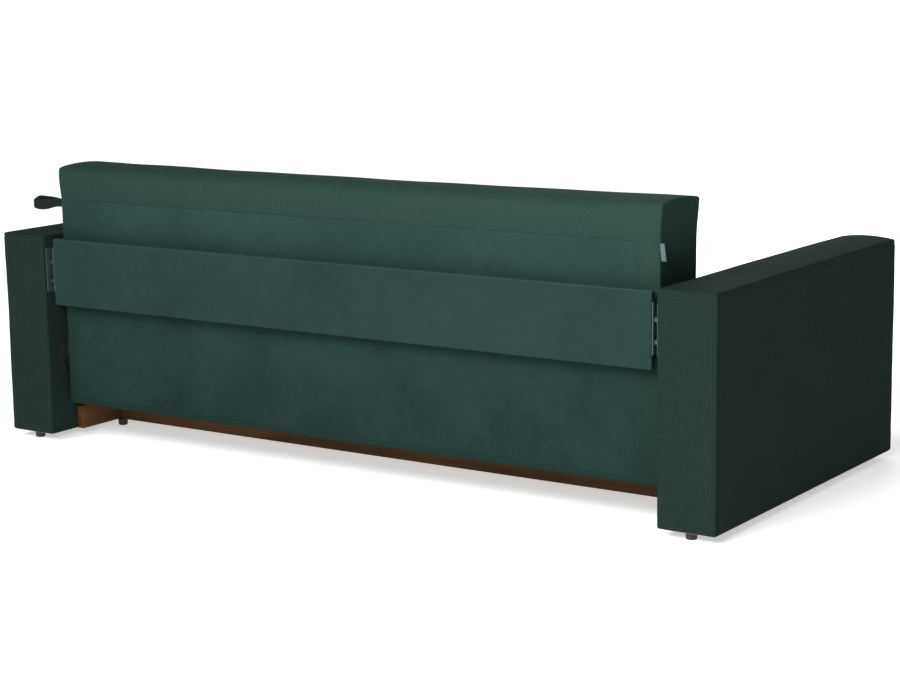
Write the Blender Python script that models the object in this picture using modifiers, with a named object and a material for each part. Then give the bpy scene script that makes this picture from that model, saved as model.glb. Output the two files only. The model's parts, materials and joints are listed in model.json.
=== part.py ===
"""Sofa bed: the seat pulls forward on wheels while the tall back folds down flat behind it.

The sofa stands on the floor, Z up, with its front towards -Y and the sitter's left arm at +X.
The origin is on the floor under the middle of its bounding box. Lengths are in metres.

Places along the depth are given as a distance forward of the arms' rear plane, and y_at()
turns such a distance into Y. Places across the width are given as a distance out from the
middle, because every sideways fit is the same at both ends.

The fold is a Scott-Russell linkage at each end. A link of length L turns on the arm at O. Its
far end M carries the back, and the back's lower pivot C, also L from M, carries the seat. At
rest C lies over O. When the link has turned by t, the back has turned by -t and C has moved
straight forward by 2 L sin(t), so the seat stays level and the back lies flat at 90 degrees.
"""

import math

import bmesh
import bpy
from mathutils import Matrix, Vector

# ---- Driving dimensions -------------------------------------------------------------------

OVERALL_WIDTH = 2.300
ARM_WIDTH = 0.158
ARM_DEPTH = 1.040
ARM_TOP = 0.600
ARM_EDGE_RADIUS = 0.012
FOOT_HEIGHT = 0.020
SEAT_TOP = 0.390

BACK_REAR = 0.057
BACK_THICKNESS = 0.190
BACK_BOTTOM = 0.105
BACK_TOP = 0.787
BACK_EDGE_RADIUS = 0.018

BOARD_REAR = 0.015
BOARD_THICKNESS = 0.018
BOARD_BOTTOM = 0.400
BOARD_TOP = 0.590

# ---- Clearances ---------------------------------------------------------------------------

FIT = 0.0003                # between pieces that touch
SIDE_GAP = 0.022            # between an arm and whatever lies between the arms
SEAT_GAP = 0.018            # between the upright back and the cushion
SWING_CLEARANCE = 0.006     # between the back's lower front edge and the seat as it swings
RAIL_CLEARANCE = 0.010      # between the moving parts and the base rails under them
FLAT_CLEARANCE = 0.022      # between the rear board and the back when it lies flat
PIN_CLEARANCE = 0.0002      # radial, in every pivot and bore
LAYER_GAP = 0.0007          # between an arm plate and its link
BRACKET_GAP = 0.002         # between a link and a seat bracket

# ---- Materials' thicknesses and sections --------------------------------------------------

COVER_THICKNESS = 0.0025
BOARD_COVER_THICKNESS = 0.002
LINING_THICKNESS = 0.003
ARM_INNER_PANEL_THICKNESS = 0.010
ARM_OUTER_PANEL_THICKNESS = 0.004
ARM_PAD_THICKNESS = 0.025
ARM_TIMBER = 0.040
BASE_RAIL_THICKNESS = 0.022
BASE_RAIL_REAR = 0.105
BASE_RAIL_FRONT = 0.985
REAR_CROSS_RAIL = 0.262
FRONT_CROSS_RAIL = 0.862
FOOT_RADIUS = 0.015
FOOT_INSET = 0.030

BACK_FRAME_DEPTH = 0.064
BACK_TIMBER = 0.050
DECK_THICKNESS = 0.008
BACK_WRAP_LEFT = 0.031      # width of the cover turned onto the rear face at the left end
BACK_WRAP_RIGHT = 0.067     # and at the right end
BACK_POST = 0.078
BACK_BAND = 0.088           # depth of the cover turned onto the rear face below the top
LINING_LAP = 0.012          # of the frame behind the lining's edges

SEAT_FRONT = 1.022
CUSHION_THICKNESS = 0.154
CUSHION_EDGE_RADIUS = 0.016
CUSHION_REAR_RADIUS = 0.004
SEAT_TIMBER = 0.026
SEAT_SIDE_MARGIN = 0.002
FRONT_PANEL_THICKNESS = 0.018
FRONT_PANEL_BOTTOM = 0.040

# ---- Fold linkage -------------------------------------------------------------------------

PIVOT_DEPTH = 0.045         # from the back's rear face in to both its pivots
ARM_PLATE_THICKNESS = 0.003
ARM_PLATE_RADIUS = 0.056
LINK_THICKNESS = 0.004
LINK_WIDTH = 0.036
BRACKET_THICKNESS = 0.0035
BACK_PLATE_THICKNESS = 0.003
BACK_PLATE_WIDTH = 0.040
PIN_RADIUS = 0.006
SPACER_RADIUS = 0.012
BRACKET_BAR = 0.030         # height of the seat bracket's bar
BRACKET_FOOT_START = 0.345
BRACKET_FOOT_LENGTH = 0.150
BRACKET_SLOPE = 0.040

# ---- Wheels -------------------------------------------------------------------------------

CASTER_RADIUS = 0.025
CASTER_WIDTH = 0.022
CASTER_OUT = 0.900
CASTER_FORWARD = 0.950
FORK_PLATE = 0.050
FORK_METAL = 0.0025
CHEEK_WIDTH = 0.024
CHEEK_BELOW_AXLE = 0.010
AXLE_END = 0.003              # of the axle, past each cheek
CORNER_BLOCK = 0.030
ROLLER_RADIUS = 0.028
ROLLER_WIDTH = 0.014
ROLLER_FORWARD = 0.352
AXLE_RADIUS = 0.004

# ---- Rear board's hook brackets, strap and label ------------------------------------------

HOOK_PLATE_HEIGHT = 0.126
HOOK_PLATE_MIDDLE = 0.500
HOOK_PLATE_WIDTH = 0.014
HOOK_PLATE_THICKNESS = 0.003
HOOK_BLADE = 0.004
HOOK_DROP = 0.010
HOOK_OFFSETS = (0.025, 0.079)   # each hook's underside above the plate's lower end
HOOK_NECK = 0.010
SOCKET_WIDTH = 0.034
SOCKET_THICKNESS = 0.003
SOCKET_DEPTH = 0.009
SLOT_CLEARANCE = 0.0008

STRAP_LENGTH = 0.115
STRAP_WIDTH = 0.038
STRAP_THICKNESS = 0.0022
STRAP_LOOP = 0.022
STRAP_HEIGHT = 0.687
LABEL_HEIGHT = 0.042
LABEL_REACH = 0.012
LABEL_THICKNESS = 0.001
LABEL_TOP = 0.697

# ---- Sizes that follow from those above ---------------------------------------------------

ARM_OUTER = OVERALL_WIDTH / 2
ARM_INNER = ARM_OUTER - ARM_WIDTH
SPAN = ARM_INNER - SIDE_GAP
SEAT_SPAN = SPAN - SEAT_SIDE_MARGIN

BOARD_FRONT = BOARD_REAR + BOARD_THICKNESS
BACK_FRONT = BACK_REAR + BACK_THICKNESS
SEAT_REAR = BACK_FRONT + SEAT_GAP

PIVOT_FORWARD = BACK_REAR + PIVOT_DEPTH
PIVOT_Z = SEAT_TOP - BACK_THICKNESS + PIVOT_DEPTH
LINK_LENGTH = (BOARD_FRONT + FLAT_CLEARANCE + BACK_TOP - PIVOT_Z - PIVOT_FORWARD) / 2
UPPER_PIVOT_Z = PIVOT_Z + LINK_LENGTH
SWING_RADIUS = math.hypot(BACK_FRONT - PIVOT_FORWARD, PIVOT_Z - BACK_BOTTOM) + SWING_CLEARANCE

RAIL_TOP = PIVOT_Z - math.hypot(PIVOT_Z - BACK_BOTTOM, PIVOT_DEPTH) - RAIL_CLEARANCE
SEAT_FRAME_BOTTOM = RAIL_TOP + RAIL_CLEARANCE + 0.002
CUSHION_BOTTOM = SEAT_TOP - CUSHION_THICKNESS
SEAT_FRAME_TOP = CUSHION_BOTTOM - DECK_THICKNESS - 2 * FIT
SEAT_FRAME_REAR = PIVOT_FORWARD + SWING_RADIUS
SEAT_FRAME_FRONT = SEAT_FRONT - FRONT_PANEL_THICKNESS - FIT
ROLLER_Z = RAIL_TOP + ROLLER_RADIUS + FIT

ARM_PLATE = (ARM_INNER - FIT - ARM_PLATE_THICKNESS, ARM_INNER - FIT)
LINK = (ARM_PLATE[0] - LAYER_GAP - LINK_THICKNESS, ARM_PLATE[0] - LAYER_GAP)
BRACKET = (LINK[0] - BRACKET_GAP - BRACKET_THICKNESS, LINK[0] - BRACKET_GAP)
BACK_PLATE = (SPAN + FIT, SPAN + FIT + BACK_PLATE_THICKNESS)

SIDES = (("left", 1), ("right", -1))


def y_at(forward):
    """Y of a place this far forward of the arms' rear plane."""
    return ARM_DEPTH / 2 - forward


# ---- Scene, collections and materials -----------------------------------------------------

def clear_scene():
    for item in list(bpy.data.objects):
        bpy.data.objects.remove(item, do_unlink=True)


def new_collection(name):
    collection = bpy.data.collections.new(name)
    bpy.context.scene.collection.children.link(collection)
    return collection


def finish(name, colour, roughness, metallic=0.0):
    """A Principled material of one colour, roughness and metallic value."""
    material = bpy.data.materials.new(name)
    material.use_nodes = True
    shader = material.node_tree.nodes["Principled BSDF"]
    shader.inputs["Base Color"].default_value = (*colour, 1.0)
    shader.inputs["Roughness"].default_value = roughness
    shader.inputs["Metallic"].default_value = metallic
    return material


clear_scene()
PARTS = new_collection("sofa_bed")
CUTTERS = new_collection("sofa_bed_cutters")

COVER_CLOTH = finish("cover_cloth", (0.036, 0.074, 0.063), 0.9)
LINING_CLOTH = finish("lining_cloth", (0.031, 0.067, 0.060), 0.95)
FOAM = finish("foam", (0.75, 0.72, 0.62), 0.95)
TIMBER = finish("timber", (0.42, 0.24, 0.10), 0.6)
STAINED = finish("stained_timber", (0.055, 0.024, 0.010), 0.55)
PLYWOOD = finish("plywood", (0.55, 0.38, 0.20), 0.65)
ZINC = finish("zinc_plate", (0.55, 0.56, 0.56), 0.35, 1.0)
ENAMEL = finish("green_enamel", (0.067, 0.120, 0.110), 0.35)
BLACK_PLASTIC = finish("black_plastic", (0.012, 0.012, 0.012), 0.45)
WHEEL_RUBBER = finish("wheel_rubber", (0.03, 0.03, 0.03), 0.7)
WEBBING = finish("webbing", (0.012, 0.018, 0.016), 0.35)
LABEL_CLOTH = finish("label_cloth", (0.10, 0.20, 0.18), 0.8)

# ---- Empties on the joint axes ------------------------------------------------------------


def pivot(name, out, forward, z):
    """An empty on a joint's axis, which the pieces of that body are parented to."""
    empty = bpy.data.objects.new(name, None)
    empty.empty_display_size = 0.05
    empty.location = (out, y_at(forward), z)
    PARTS.objects.link(empty)
    return empty


BASE = pivot("base_origin", 0.0, ARM_DEPTH / 2, 0.0)
LINKS = pivot("link_axis", 0.0, PIVOT_FORWARD, PIVOT_Z)
BACK = pivot("back_axis", 0.0, PIVOT_FORWARD, UPPER_PIVOT_Z)
SEAT = pivot("seat_axis", 0.0, PIVOT_FORWARD, PIVOT_Z)

# ---- Modelling helpers --------------------------------------------------------------------


def place(name, mesh, material, body, location):
    """Put a mesh in the scene at a location and let it follow a body's empty."""
    item = bpy.data.objects.new(name, mesh)
    item.location = location
    if material:
        mesh.materials.append(material)
    if body:
        PARTS.objects.link(item)
        item.parent = body
        item.matrix_parent_inverse = Matrix.Translation(-Vector(body.location))
    else:
        CUTTERS.objects.link(item)
        item.hide_render = True
        item.display_type = "WIRE"
    return item


def mesh_from(name, shape):
    mesh = bpy.data.meshes.new(name)
    shape.to_mesh(mesh)
    shape.free()
    return mesh


def sorted_pair(pair):
    return min(pair), max(pair)


def add_cube(shape, out, forward, z):
    """Add to a bmesh a box that spans three pairs of limits, and return its vertices."""
    x = sorted_pair(out)
    y = sorted_pair((y_at(forward[0]), y_at(forward[1])))
    size = Matrix.Diagonal((x[1] - x[0], y[1] - y[0], z[1] - z[0], 1.0))
    middle = Vector(((x[0] + x[1]) / 2, (y[0] + y[1]) / 2, (z[0] + z[1]) / 2))
    return bmesh.ops.create_cube(shape, size=1.0, matrix=Matrix.Translation(middle) @ size)["verts"]


def box(name, out, forward, z, material, body, bevel=0.0):
    """A box between three pairs of limits, with its edges bevelled if a width is given."""
    origin = Vector(body.location) if body else Vector((0.0, 0.0, 0.0))
    shape = bmesh.new()
    add_cube(shape, out, forward, z)
    bmesh.ops.translate(shape, verts=shape.verts, vec=-origin)
    item = place(name, mesh_from(name, shape), material, body, origin)
    if bevel:
        add_bevel(item, bevel)
    return item


def block(name, out, forward, z):
    """A box that only cuts or joins other pieces."""
    return box(name, out, forward, z, None, None)


def add_bevel(item, width, segments=1, angle=math.radians(60)):
    modifier = item.modifiers.new("rounded edges", "BEVEL")
    modifier.width = width
    modifier.segments = segments
    modifier.limit_method = "ANGLE"
    modifier.angle_limit = angle
    return modifier


def soft_block(name, out, forward, z, radius, material, body, crisp_bottom=False):
    """A box with rounded edges; its bottom edges may stay crisp."""
    shape = bmesh.new()
    add_cube(shape, out, forward, z)
    edges = [
        edge for edge in shape.edges
        if not crisp_bottom or max(vertex.co.z for vertex in edge.verts) > z[0] + FIT
    ]
    bmesh.ops.bevel(
        shape, geom=edges, offset=radius, offset_type="OFFSET", segments=3, profile=0.5,
        affect="EDGES", clamp_overlap=True,
    )
    return place(name, mesh_from(name, shape), material, body, (0.0, 0.0, 0.0))


def rounded_outline(forward, z, radii, steps=5):
    """Corner points of a side view with a radius at each of its four corners.

    The radii run rear bottom, front bottom, front top, rear top; a radius of 0 is a sharp corner.
    """
    corners = (
        (forward[0], z[0], 1, 1, math.pi),
        (forward[1], z[0], -1, 1, 1.5 * math.pi),
        (forward[1], z[1], -1, -1, 0.0),
        (forward[0], z[1], 1, -1, 0.5 * math.pi),
    )
    points = []
    for (corner_forward, corner_z, inward, upward, start), radius in zip(corners, radii):
        if radius == 0:
            points.append((corner_forward, corner_z))
            continue
        for step in range(steps + 1):
            angle = start + 0.5 * math.pi * step / steps
            points.append((
                corner_forward + inward * radius + radius * math.cos(angle),
                corner_z + upward * radius + radius * math.sin(angle),
            ))
    return points


def circle(forward, z, radius, steps=20):
    return [
        (forward + radius * math.cos(2 * math.pi * step / steps),
         z + radius * math.sin(2 * math.pi * step / steps))
        for step in range(steps)
    ]


def capsule(start, end, width, steps=10):
    """Outline of a straight bar with round ends, centred on two (forward, z) points."""
    heading = math.atan2(end[1] - start[1], end[0] - start[0])
    points = []
    for (forward, z), turn in ((start, 0.5 * math.pi), (end, -0.5 * math.pi)):
        for step in range(steps + 1):
            angle = heading + turn + math.pi * step / steps
            points.append((forward + width / 2 * math.cos(angle), z + width / 2 * math.sin(angle)))
    return points


def filled_outlines(outlines, thickness):
    """A bmesh of flat outlines filled with a 2D curve and given a thickness along Z.

    The first outline is the outer edge and any others are holes in it. The curve's caps are
    loose, so they are welded to its sides.
    """
    data = bpy.data.curves.new("outline", "CURVE")
    data.dimensions = "2D"
    data.fill_mode = "BOTH"
    data.extrude = thickness / 2
    for outline in outlines:
        spline = data.splines.new("POLY")
        spline.points.add(len(outline) - 1)
        for point, (across, up) in zip(spline.points, outline):
            point.co = (across, up, 0.0, 1.0)
        spline.use_cyclic_u = True
    drawn = bpy.data.objects.new("outline", data)
    bpy.context.scene.collection.objects.link(drawn)
    bpy.context.view_layer.update()
    evaluated = drawn.evaluated_get(bpy.context.evaluated_depsgraph_get())
    flat = bpy.data.meshes.new_from_object(evaluated)
    shape = bmesh.new()
    shape.from_mesh(flat)
    bmesh.ops.remove_doubles(shape, verts=shape.verts, dist=0.00001)
    bmesh.ops.recalc_face_normals(shape, faces=shape.faces)
    bpy.data.objects.remove(drawn, do_unlink=True)
    bpy.data.curves.remove(data)
    bpy.data.meshes.remove(flat)
    return shape


def extrusion(name, outlines, out, material, body):
    """Outlines of the side view, as (forward, z) points, run across the width."""
    low, high = sorted_pair(out)
    origin = Vector(body.location) if body else Vector((0.0, 0.0, 0.0))
    shape = filled_outlines([[(y_at(forward), z) for forward, z in outline]
                             for outline in outlines], high - low)
    turn = Matrix.Rotation(math.pi / 2, 4, "Z") @ Matrix.Rotation(math.pi / 2, 4, "X")
    middle = Vector(((low + high) / 2, 0.0, 0.0)) - origin
    bmesh.ops.transform(shape, matrix=Matrix.Translation(middle) @ turn, verts=shape.verts)
    return place(name, mesh_from(name, shape), material, body, origin)


def turned(name, profile, forward, z, side, material, body, ring=False, steps=24):
    """A piece turned about an axis across the width, from (radius, out) profile points.

    The object's own Z axis points out from the middle of the sofa at its end, so the profile
    runs down its outer side from the far end to the near one. A ring's profile is closed; any
    other starts and ends on the axis.
    """
    shape = bmesh.new()
    points = [shape.verts.new((radius, 0.0, out)) for radius, out in profile]
    for first, second in zip(points, points[1:] + points[:1] if ring else points[1:]):
        shape.edges.new((first, second))
    item = place(name, mesh_from(name, shape), material, body, (0.0, y_at(forward), z))
    item.rotation_euler = (0.0, side * math.pi / 2, 0.0)
    screw = item.modifiers.new("turned", "SCREW")
    screw.axis = "Z"
    screw.steps = steps
    screw.render_steps = steps
    screw.use_merge_vertices = True
    screw.merge_threshold = 0.00001
    screw.use_smooth_shade = True
    return item


def rod_profile(out, radius):
    return [(0.0, out[1]), (radius, out[1]), (radius, out[0]), (0.0, out[0])]


def bore(name, out, forward, z, side):
    """A cutter for the running bore of an axle."""
    return turned(name, rod_profile(out, AXLE_RADIUS + PIN_CLEARANCE), forward, z, side, None, None)


def cut(item, cutter):
    modifier = item.modifiers.new(cutter.name, "BOOLEAN")
    modifier.operation = "DIFFERENCE"
    modifier.solver = "EXACT"
    modifier.object = cutter


def fuse(item, other):
    modifier = item.modifiers.new(other.name, "BOOLEAN")
    modifier.operation = "UNION"
    modifier.solver = "EXACT"
    modifier.object = other


# ---- Arms ---------------------------------------------------------------------------------

PAD_TOP = ARM_TOP - COVER_THICKNESS - FIT
ARM_FRAME_TOP = PAD_TOP - ARM_PAD_THICKNESS - FIT
ARM_FRAME_BOTTOM = FOOT_HEIGHT + FIT
ARM_SKIN = COVER_THICKNESS + FIT
INNER_PANEL = (ARM_INNER + ARM_SKIN, ARM_INNER + ARM_SKIN + ARM_INNER_PANEL_THICKNESS)
CARCASS = (INNER_PANEL[1] + FIT, ARM_OUTER - ARM_SKIN)
ARM_MIDDLE = (ARM_INNER + ARM_OUTER) / 2


def signed(out, side):
    return out[0] * side, out[1] * side


def make_arm(name, side):
    """Carcass, closing panel, top pad and cover of one arm.

    The carcass is a glued frame of posts and rails with the outer panel on it, open on the side
    that the inner panel closes.
    """
    height = (ARM_FRAME_BOTTOM, ARM_FRAME_TOP)
    run = (ARM_SKIN, ARM_DEPTH - ARM_SKIN)
    hollow_radius = ARM_EDGE_RADIUS - COVER_THICKNESS
    carcass = soft_block(f"arm_carcass_{name}", signed(CARCASS, side), run, height, hollow_radius,
                         TIMBER, BASE, crisp_bottom=True)
    cut(carcass, block(
        f"arm_pocket_{name}",
        signed((CARCASS[0] - FIT, CARCASS[1] - ARM_OUTER_PANEL_THICKNESS), side),
        (run[0] + ARM_TIMBER, run[1] - ARM_TIMBER),
        (height[0] + ARM_TIMBER, height[1] - ARM_TIMBER),
    ))
    panel = box(f"arm_inner_panel_{name}", signed(INNER_PANEL, side),
                (ARM_EDGE_RADIUS + FIT, ARM_DEPTH - ARM_EDGE_RADIUS - FIT), height, PLYWOOD, BASE)
    soft_block(f"arm_pad_{name}", signed((ARM_INNER + ARM_SKIN, ARM_OUTER - ARM_SKIN), side), run,
               (PAD_TOP - ARM_PAD_THICKNESS, PAD_TOP), hollow_radius, FOAM, BASE)
    cover = soft_block(
        f"arm_cover_{name}", signed((ARM_INNER, ARM_OUTER), side), (0.0, ARM_DEPTH),
        (FOOT_HEIGHT, ARM_TOP), ARM_EDGE_RADIUS, COVER_CLOTH, BASE, crisp_bottom=True,
    )
    cut(cover, soft_block(
        f"arm_hollow_{name}",
        signed((ARM_INNER + COVER_THICKNESS, ARM_OUTER - COVER_THICKNESS), side),
        (COVER_THICKNESS, ARM_DEPTH - COVER_THICKNESS),
        (FOOT_HEIGHT - ARM_EDGE_RADIUS, ARM_TOP - COVER_THICKNESS),
        hollow_radius, None, None, crisp_bottom=True,
    ))
    return panel, cover


def foot(name, out, forward):
    """A round plastic foot, a little wider at its top."""
    height = FOOT_HEIGHT - FIT
    shape = bmesh.new()
    bmesh.ops.create_cone(shape, cap_ends=True, segments=24, radius1=FOOT_RADIUS * 0.9,
                          radius2=FOOT_RADIUS, depth=height)
    item = place(name, mesh_from(name, shape), BLACK_PLASTIC, BASE,
                 (out, y_at(forward), height / 2))
    add_bevel(item, 0.0015)


ARMS = {name: make_arm(name, side) for name, side in SIDES}
for side_name, side in SIDES:
    foot(f"arm_rear_foot_{side_name}", ARM_MIDDLE * side, FOOT_INSET)
    foot(f"arm_front_foot_{side_name}", ARM_MIDDLE * side, ARM_DEPTH - FOOT_INSET)

# ---- Base between the arms ----------------------------------------------------------------

RAIL_HEIGHT = (FOOT_HEIGHT, RAIL_TOP)
for side_name, side in SIDES:
    box(f"base_side_rail_{side_name}",
        signed((SPAN, SPAN + BASE_RAIL_THICKNESS - FIT), side), (BASE_RAIL_REAR, BASE_RAIL_FRONT),
        RAIL_HEIGHT, STAINED, BASE, bevel=0.001)
for end_name, rail in (("rear", REAR_CROSS_RAIL), ("front", FRONT_CROSS_RAIL)):
    box(f"base_{end_name}_rail", (-SPAN + FIT, SPAN - FIT), (rail, rail + BASE_RAIL_THICKNESS),
        RAIL_HEIGHT, STAINED, BASE, bevel=0.001)
for side_name, side in SIDES:
    foot(f"base_foot_{side_name}", SPAN * side, REAR_CROSS_RAIL + BASE_RAIL_THICKNESS / 2)

# ---- Rear board between the arms ----------------------------------------------------------

BOARD_SKIN = BOARD_COVER_THICKNESS


def covered_board(name, reach, forward, z, open_side, window_inset, cover_cloth, body):
    """A flat board in a cloth cover that is turned in round a window on its hidden face.

    open_side is 1 if the window is on the front face and -1 if it is on the rear one.
    """
    cover = soft_block(f"{name}_cover", (-reach, reach), forward, z, 1.5 * BOARD_SKIN,
                       cover_cloth, body)
    middle = (forward[0] + forward[1]) / 2
    outside = middle + open_side * (forward[1] - forward[0])
    cut(cover, block(f"{name}_hollow", (-reach + BOARD_SKIN, reach - BOARD_SKIN),
                     (forward[0] + BOARD_SKIN, forward[1] - BOARD_SKIN),
                     (z[0] + BOARD_SKIN, z[1] - BOARD_SKIN)))
    cut(cover, block(f"{name}_window", (-reach + window_inset, reach - window_inset),
                     sorted_pair((middle, outside)), (z[0] + window_inset, z[1] - window_inset)))
    inset = BOARD_SKIN + FIT
    box(f"{name}_core", (-reach + inset, reach - inset), (forward[0] + inset, forward[1] - inset),
        (z[0] + inset, z[1] - inset), PLYWOOD, body)


covered_board("rear_board", SPAN, (BOARD_REAR, BOARD_FRONT), (BOARD_BOTTOM, BOARD_TOP), 1, 0.035,
              LINING_CLOTH, BASE)

# ---- Hook brackets that carry the rear board ----------------------------------------------

BOARD_MIDDLE = (BOARD_REAR + BOARD_FRONT) / 2
HOOK_SPAN = (HOOK_PLATE_MIDDLE - HOOK_PLATE_HEIGHT / 2, HOOK_PLATE_MIDDLE + HOOK_PLATE_HEIGHT / 2)
HOOK_PLATE = (SPAN + FIT, SPAN + FIT + HOOK_PLATE_THICKNESS)
HOOK_HEIGHTS = [HOOK_SPAN[0] + offset for offset in HOOK_OFFSETS]
HOOK_RUN = (BOARD_MIDDLE - HOOK_BLADE / 2, BOARD_MIDDLE + HOOK_BLADE / 2)
SOCKET = (ARM_INNER - FIT - SOCKET_THICKNESS, ARM_INNER - FIT)
SLOT_RUN = (HOOK_RUN[0] - SLOT_CLEARANCE, HOOK_RUN[1] + SLOT_CLEARANCE)


def make_hook_plate(name, side):
    """The plate on one end of the board, with two hooks that reach out and turn down."""
    plate = box(f"hook_plate_{name}", signed(HOOK_PLATE, side),
                (BOARD_MIDDLE - HOOK_PLATE_WIDTH / 2, BOARD_MIDDLE + HOOK_PLATE_WIDTH / 2),
                HOOK_SPAN, ENAMEL, BASE)
    tip = ARM_INNER + SOCKET_DEPTH - 2 * SLOT_CLEARANCE
    for z in HOOK_HEIGHTS:
        fuse(plate, block("hook_neck", signed((HOOK_PLATE[1] - HOOK_PLATE_THICKNESS / 2, tip), side),
                          HOOK_RUN, (z, z + HOOK_NECK)))
        fuse(plate, block("hook_barb", signed((SOCKET[1] + SLOT_CLEARANCE, tip), side), HOOK_RUN,
                          (z - HOOK_DROP, z + HOOK_NECK / 2)))


def make_socket_plate(name, side):
    """A plate on the arm with two slots, and the mortise behind it that the hooks drop into."""
    plate = box(f"socket_plate_{name}", signed(SOCKET, side),
                (BOARD_MIDDLE - SOCKET_WIDTH / 2, BOARD_MIDDLE + SOCKET_WIDTH / 2),
                HOOK_SPAN, ENAMEL, BASE, bevel=0.0005)
    for z in HOOK_HEIGHTS:
        cut(plate, block(
            "socket_slot", signed((SOCKET[0] - SOCKET_THICKNESS, SOCKET[1] + SOCKET_THICKNESS), side),
            SLOT_RUN, (z - SLOT_CLEARANCE, z + HOOK_NECK + HOOK_DROP + SLOT_CLEARANCE),
        ))
    mortise = block(
        f"mortise_{name}", signed((ARM_INNER - FIT, ARM_INNER + SOCKET_DEPTH), side), SLOT_RUN,
        (HOOK_HEIGHTS[0] - HOOK_DROP - SLOT_CLEARANCE,
         HOOK_HEIGHTS[1] + HOOK_NECK + SLOT_CLEARANCE),
    )
    for piece in ARMS[name]:
        cut(piece, mortise)


for side_name, side in SIDES:
    make_hook_plate(side_name, side)
    make_socket_plate(side_name, side)

# ---- Fold linkage: arm plates and links ---------------------------------------------------

O_POINT = (PIVOT_FORWARD, PIVOT_Z)
M_POINT = (PIVOT_FORWARD, UPPER_PIVOT_Z)
C_POINT = O_POINT
HOLE_RADIUS = PIN_RADIUS + PIN_CLEARANCE


def stud(name, out, point, side, collar=None):
    """A pivot stud welded to a plate, with a wider collar up to where the next layer starts."""
    profile = [(0.0, out[1]), (PIN_RADIUS, out[1])]
    if collar:
        profile += [(PIN_RADIUS, collar), (SPACER_RADIUS, collar), (SPACER_RADIUS, out[0])]
    else:
        profile += [(PIN_RADIUS, out[0])]
    return turned(name, profile + [(0.0, out[0])], *point, side, None, None)


for side_name, side in SIDES:
    arm_plate = extrusion(f"arm_plate_{side_name}", [circle(*O_POINT, ARM_PLATE_RADIUS, steps=32)],
                          signed(ARM_PLATE, side), ZINC, BASE)
    plate_middle = (ARM_PLATE[0] + ARM_PLATE[1]) / 2
    fuse(arm_plate, stud(f"link_stud_{side_name}", (LINK[0] + FIT, plate_middle), O_POINT, side))
    extrusion(f"fold_link_{side_name}",
              [capsule(O_POINT, M_POINT, LINK_WIDTH), circle(*O_POINT, HOLE_RADIUS),
               circle(*M_POINT, HOLE_RADIUS)],
              signed(LINK, side), ZINC, LINKS)

# ---- Back ---------------------------------------------------------------------------------

BACK_SKIN = COVER_THICKNESS + FIT
BACK_FRAME_REAR = BACK_REAR + LINING_THICKNESS + 2 * FIT
BACK_FRAME_RUN = (BACK_FRAME_REAR, BACK_FRAME_REAR + BACK_FRAME_DEPTH)
BACK_FRAME_HEIGHT = (BACK_BOTTOM + BACK_SKIN, BACK_TOP - BACK_SKIN)
POST = (SPAN - BACK_SKIN - BACK_POST, SPAN - BACK_SKIN)
LINING_HEIGHT = (BACK_BOTTOM + BACK_EDGE_RADIUS, BACK_TOP - BACK_BAND)
LINING_SPAN = (-SPAN + BACK_WRAP_RIGHT, SPAN - BACK_WRAP_LEFT)
hollow_radius = BACK_EDGE_RADIUS - COVER_THICKNESS


def frame_member(name, out, z, radii):
    """A post or rail of the back's frame, rounded where the cover turns round its edges."""
    extrusion(name, [rounded_outline(BACK_FRAME_RUN, z, radii)], out, TIMBER, BACK)


for side_name, side in SIDES:
    frame_member(f"back_end_post_{side_name}", signed(POST, side), BACK_FRAME_HEIGHT,
                 (hollow_radius, 0, 0, hollow_radius))
rail_span = (-POST[0] + FIT, POST[0] - FIT)
frame_member("back_top_rail", rail_span, (LINING_HEIGHT[1] - LINING_LAP, BACK_FRAME_HEIGHT[1]),
             (0, 0, 0, hollow_radius))
frame_member("back_bottom_rail", rail_span,
             (BACK_FRAME_HEIGHT[0], BACK_FRAME_HEIGHT[0] + BACK_TIMBER), (hollow_radius, 0, 0, 0))
deck_run = (BACK_FRAME_RUN[1] + FIT, BACK_FRAME_RUN[1] + FIT + DECK_THICKNESS)
box("back_deck", (-POST[1], POST[1]), deck_run, BACK_FRAME_HEIGHT, PLYWOOD, BACK)
extrusion("back_foam", [rounded_outline(
    (deck_run[1] + FIT, BACK_FRONT - BACK_SKIN), BACK_FRAME_HEIGHT,
    (0, hollow_radius, hollow_radius, 0),
)], (-SPAN + BACK_SKIN, SPAN - BACK_SKIN), FOAM, BACK)

back_cover = extrusion("back_cover", [rounded_outline(
    (BACK_REAR, BACK_FRONT), (BACK_BOTTOM, BACK_TOP), (BACK_EDGE_RADIUS,) * 4,
)], (-SPAN, SPAN), COVER_CLOTH, BACK)
add_bevel(back_cover, 0.004, segments=2)
cut(back_cover, extrusion("back_hollow", [rounded_outline(
    (BACK_REAR + COVER_THICKNESS, BACK_FRONT - COVER_THICKNESS),
    (BACK_BOTTOM + COVER_THICKNESS, BACK_TOP - COVER_THICKNESS), (hollow_radius,) * 4,
)], (-SPAN + COVER_THICKNESS, SPAN - COVER_THICKNESS), None, None))
cut(back_cover, block("back_window", LINING_SPAN,
                      (BACK_REAR - COVER_THICKNESS, BACK_FRAME_RUN[1]), LINING_HEIGHT))
box("back_rear_lining", (LINING_SPAN[0] + FIT, LINING_SPAN[1] - FIT),
    (BACK_REAR + FIT, BACK_REAR + FIT + LINING_THICKNESS),
    (LINING_HEIGHT[0] + FIT, LINING_HEIGHT[1] - FIT), LINING_CLOTH, BACK)

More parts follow.
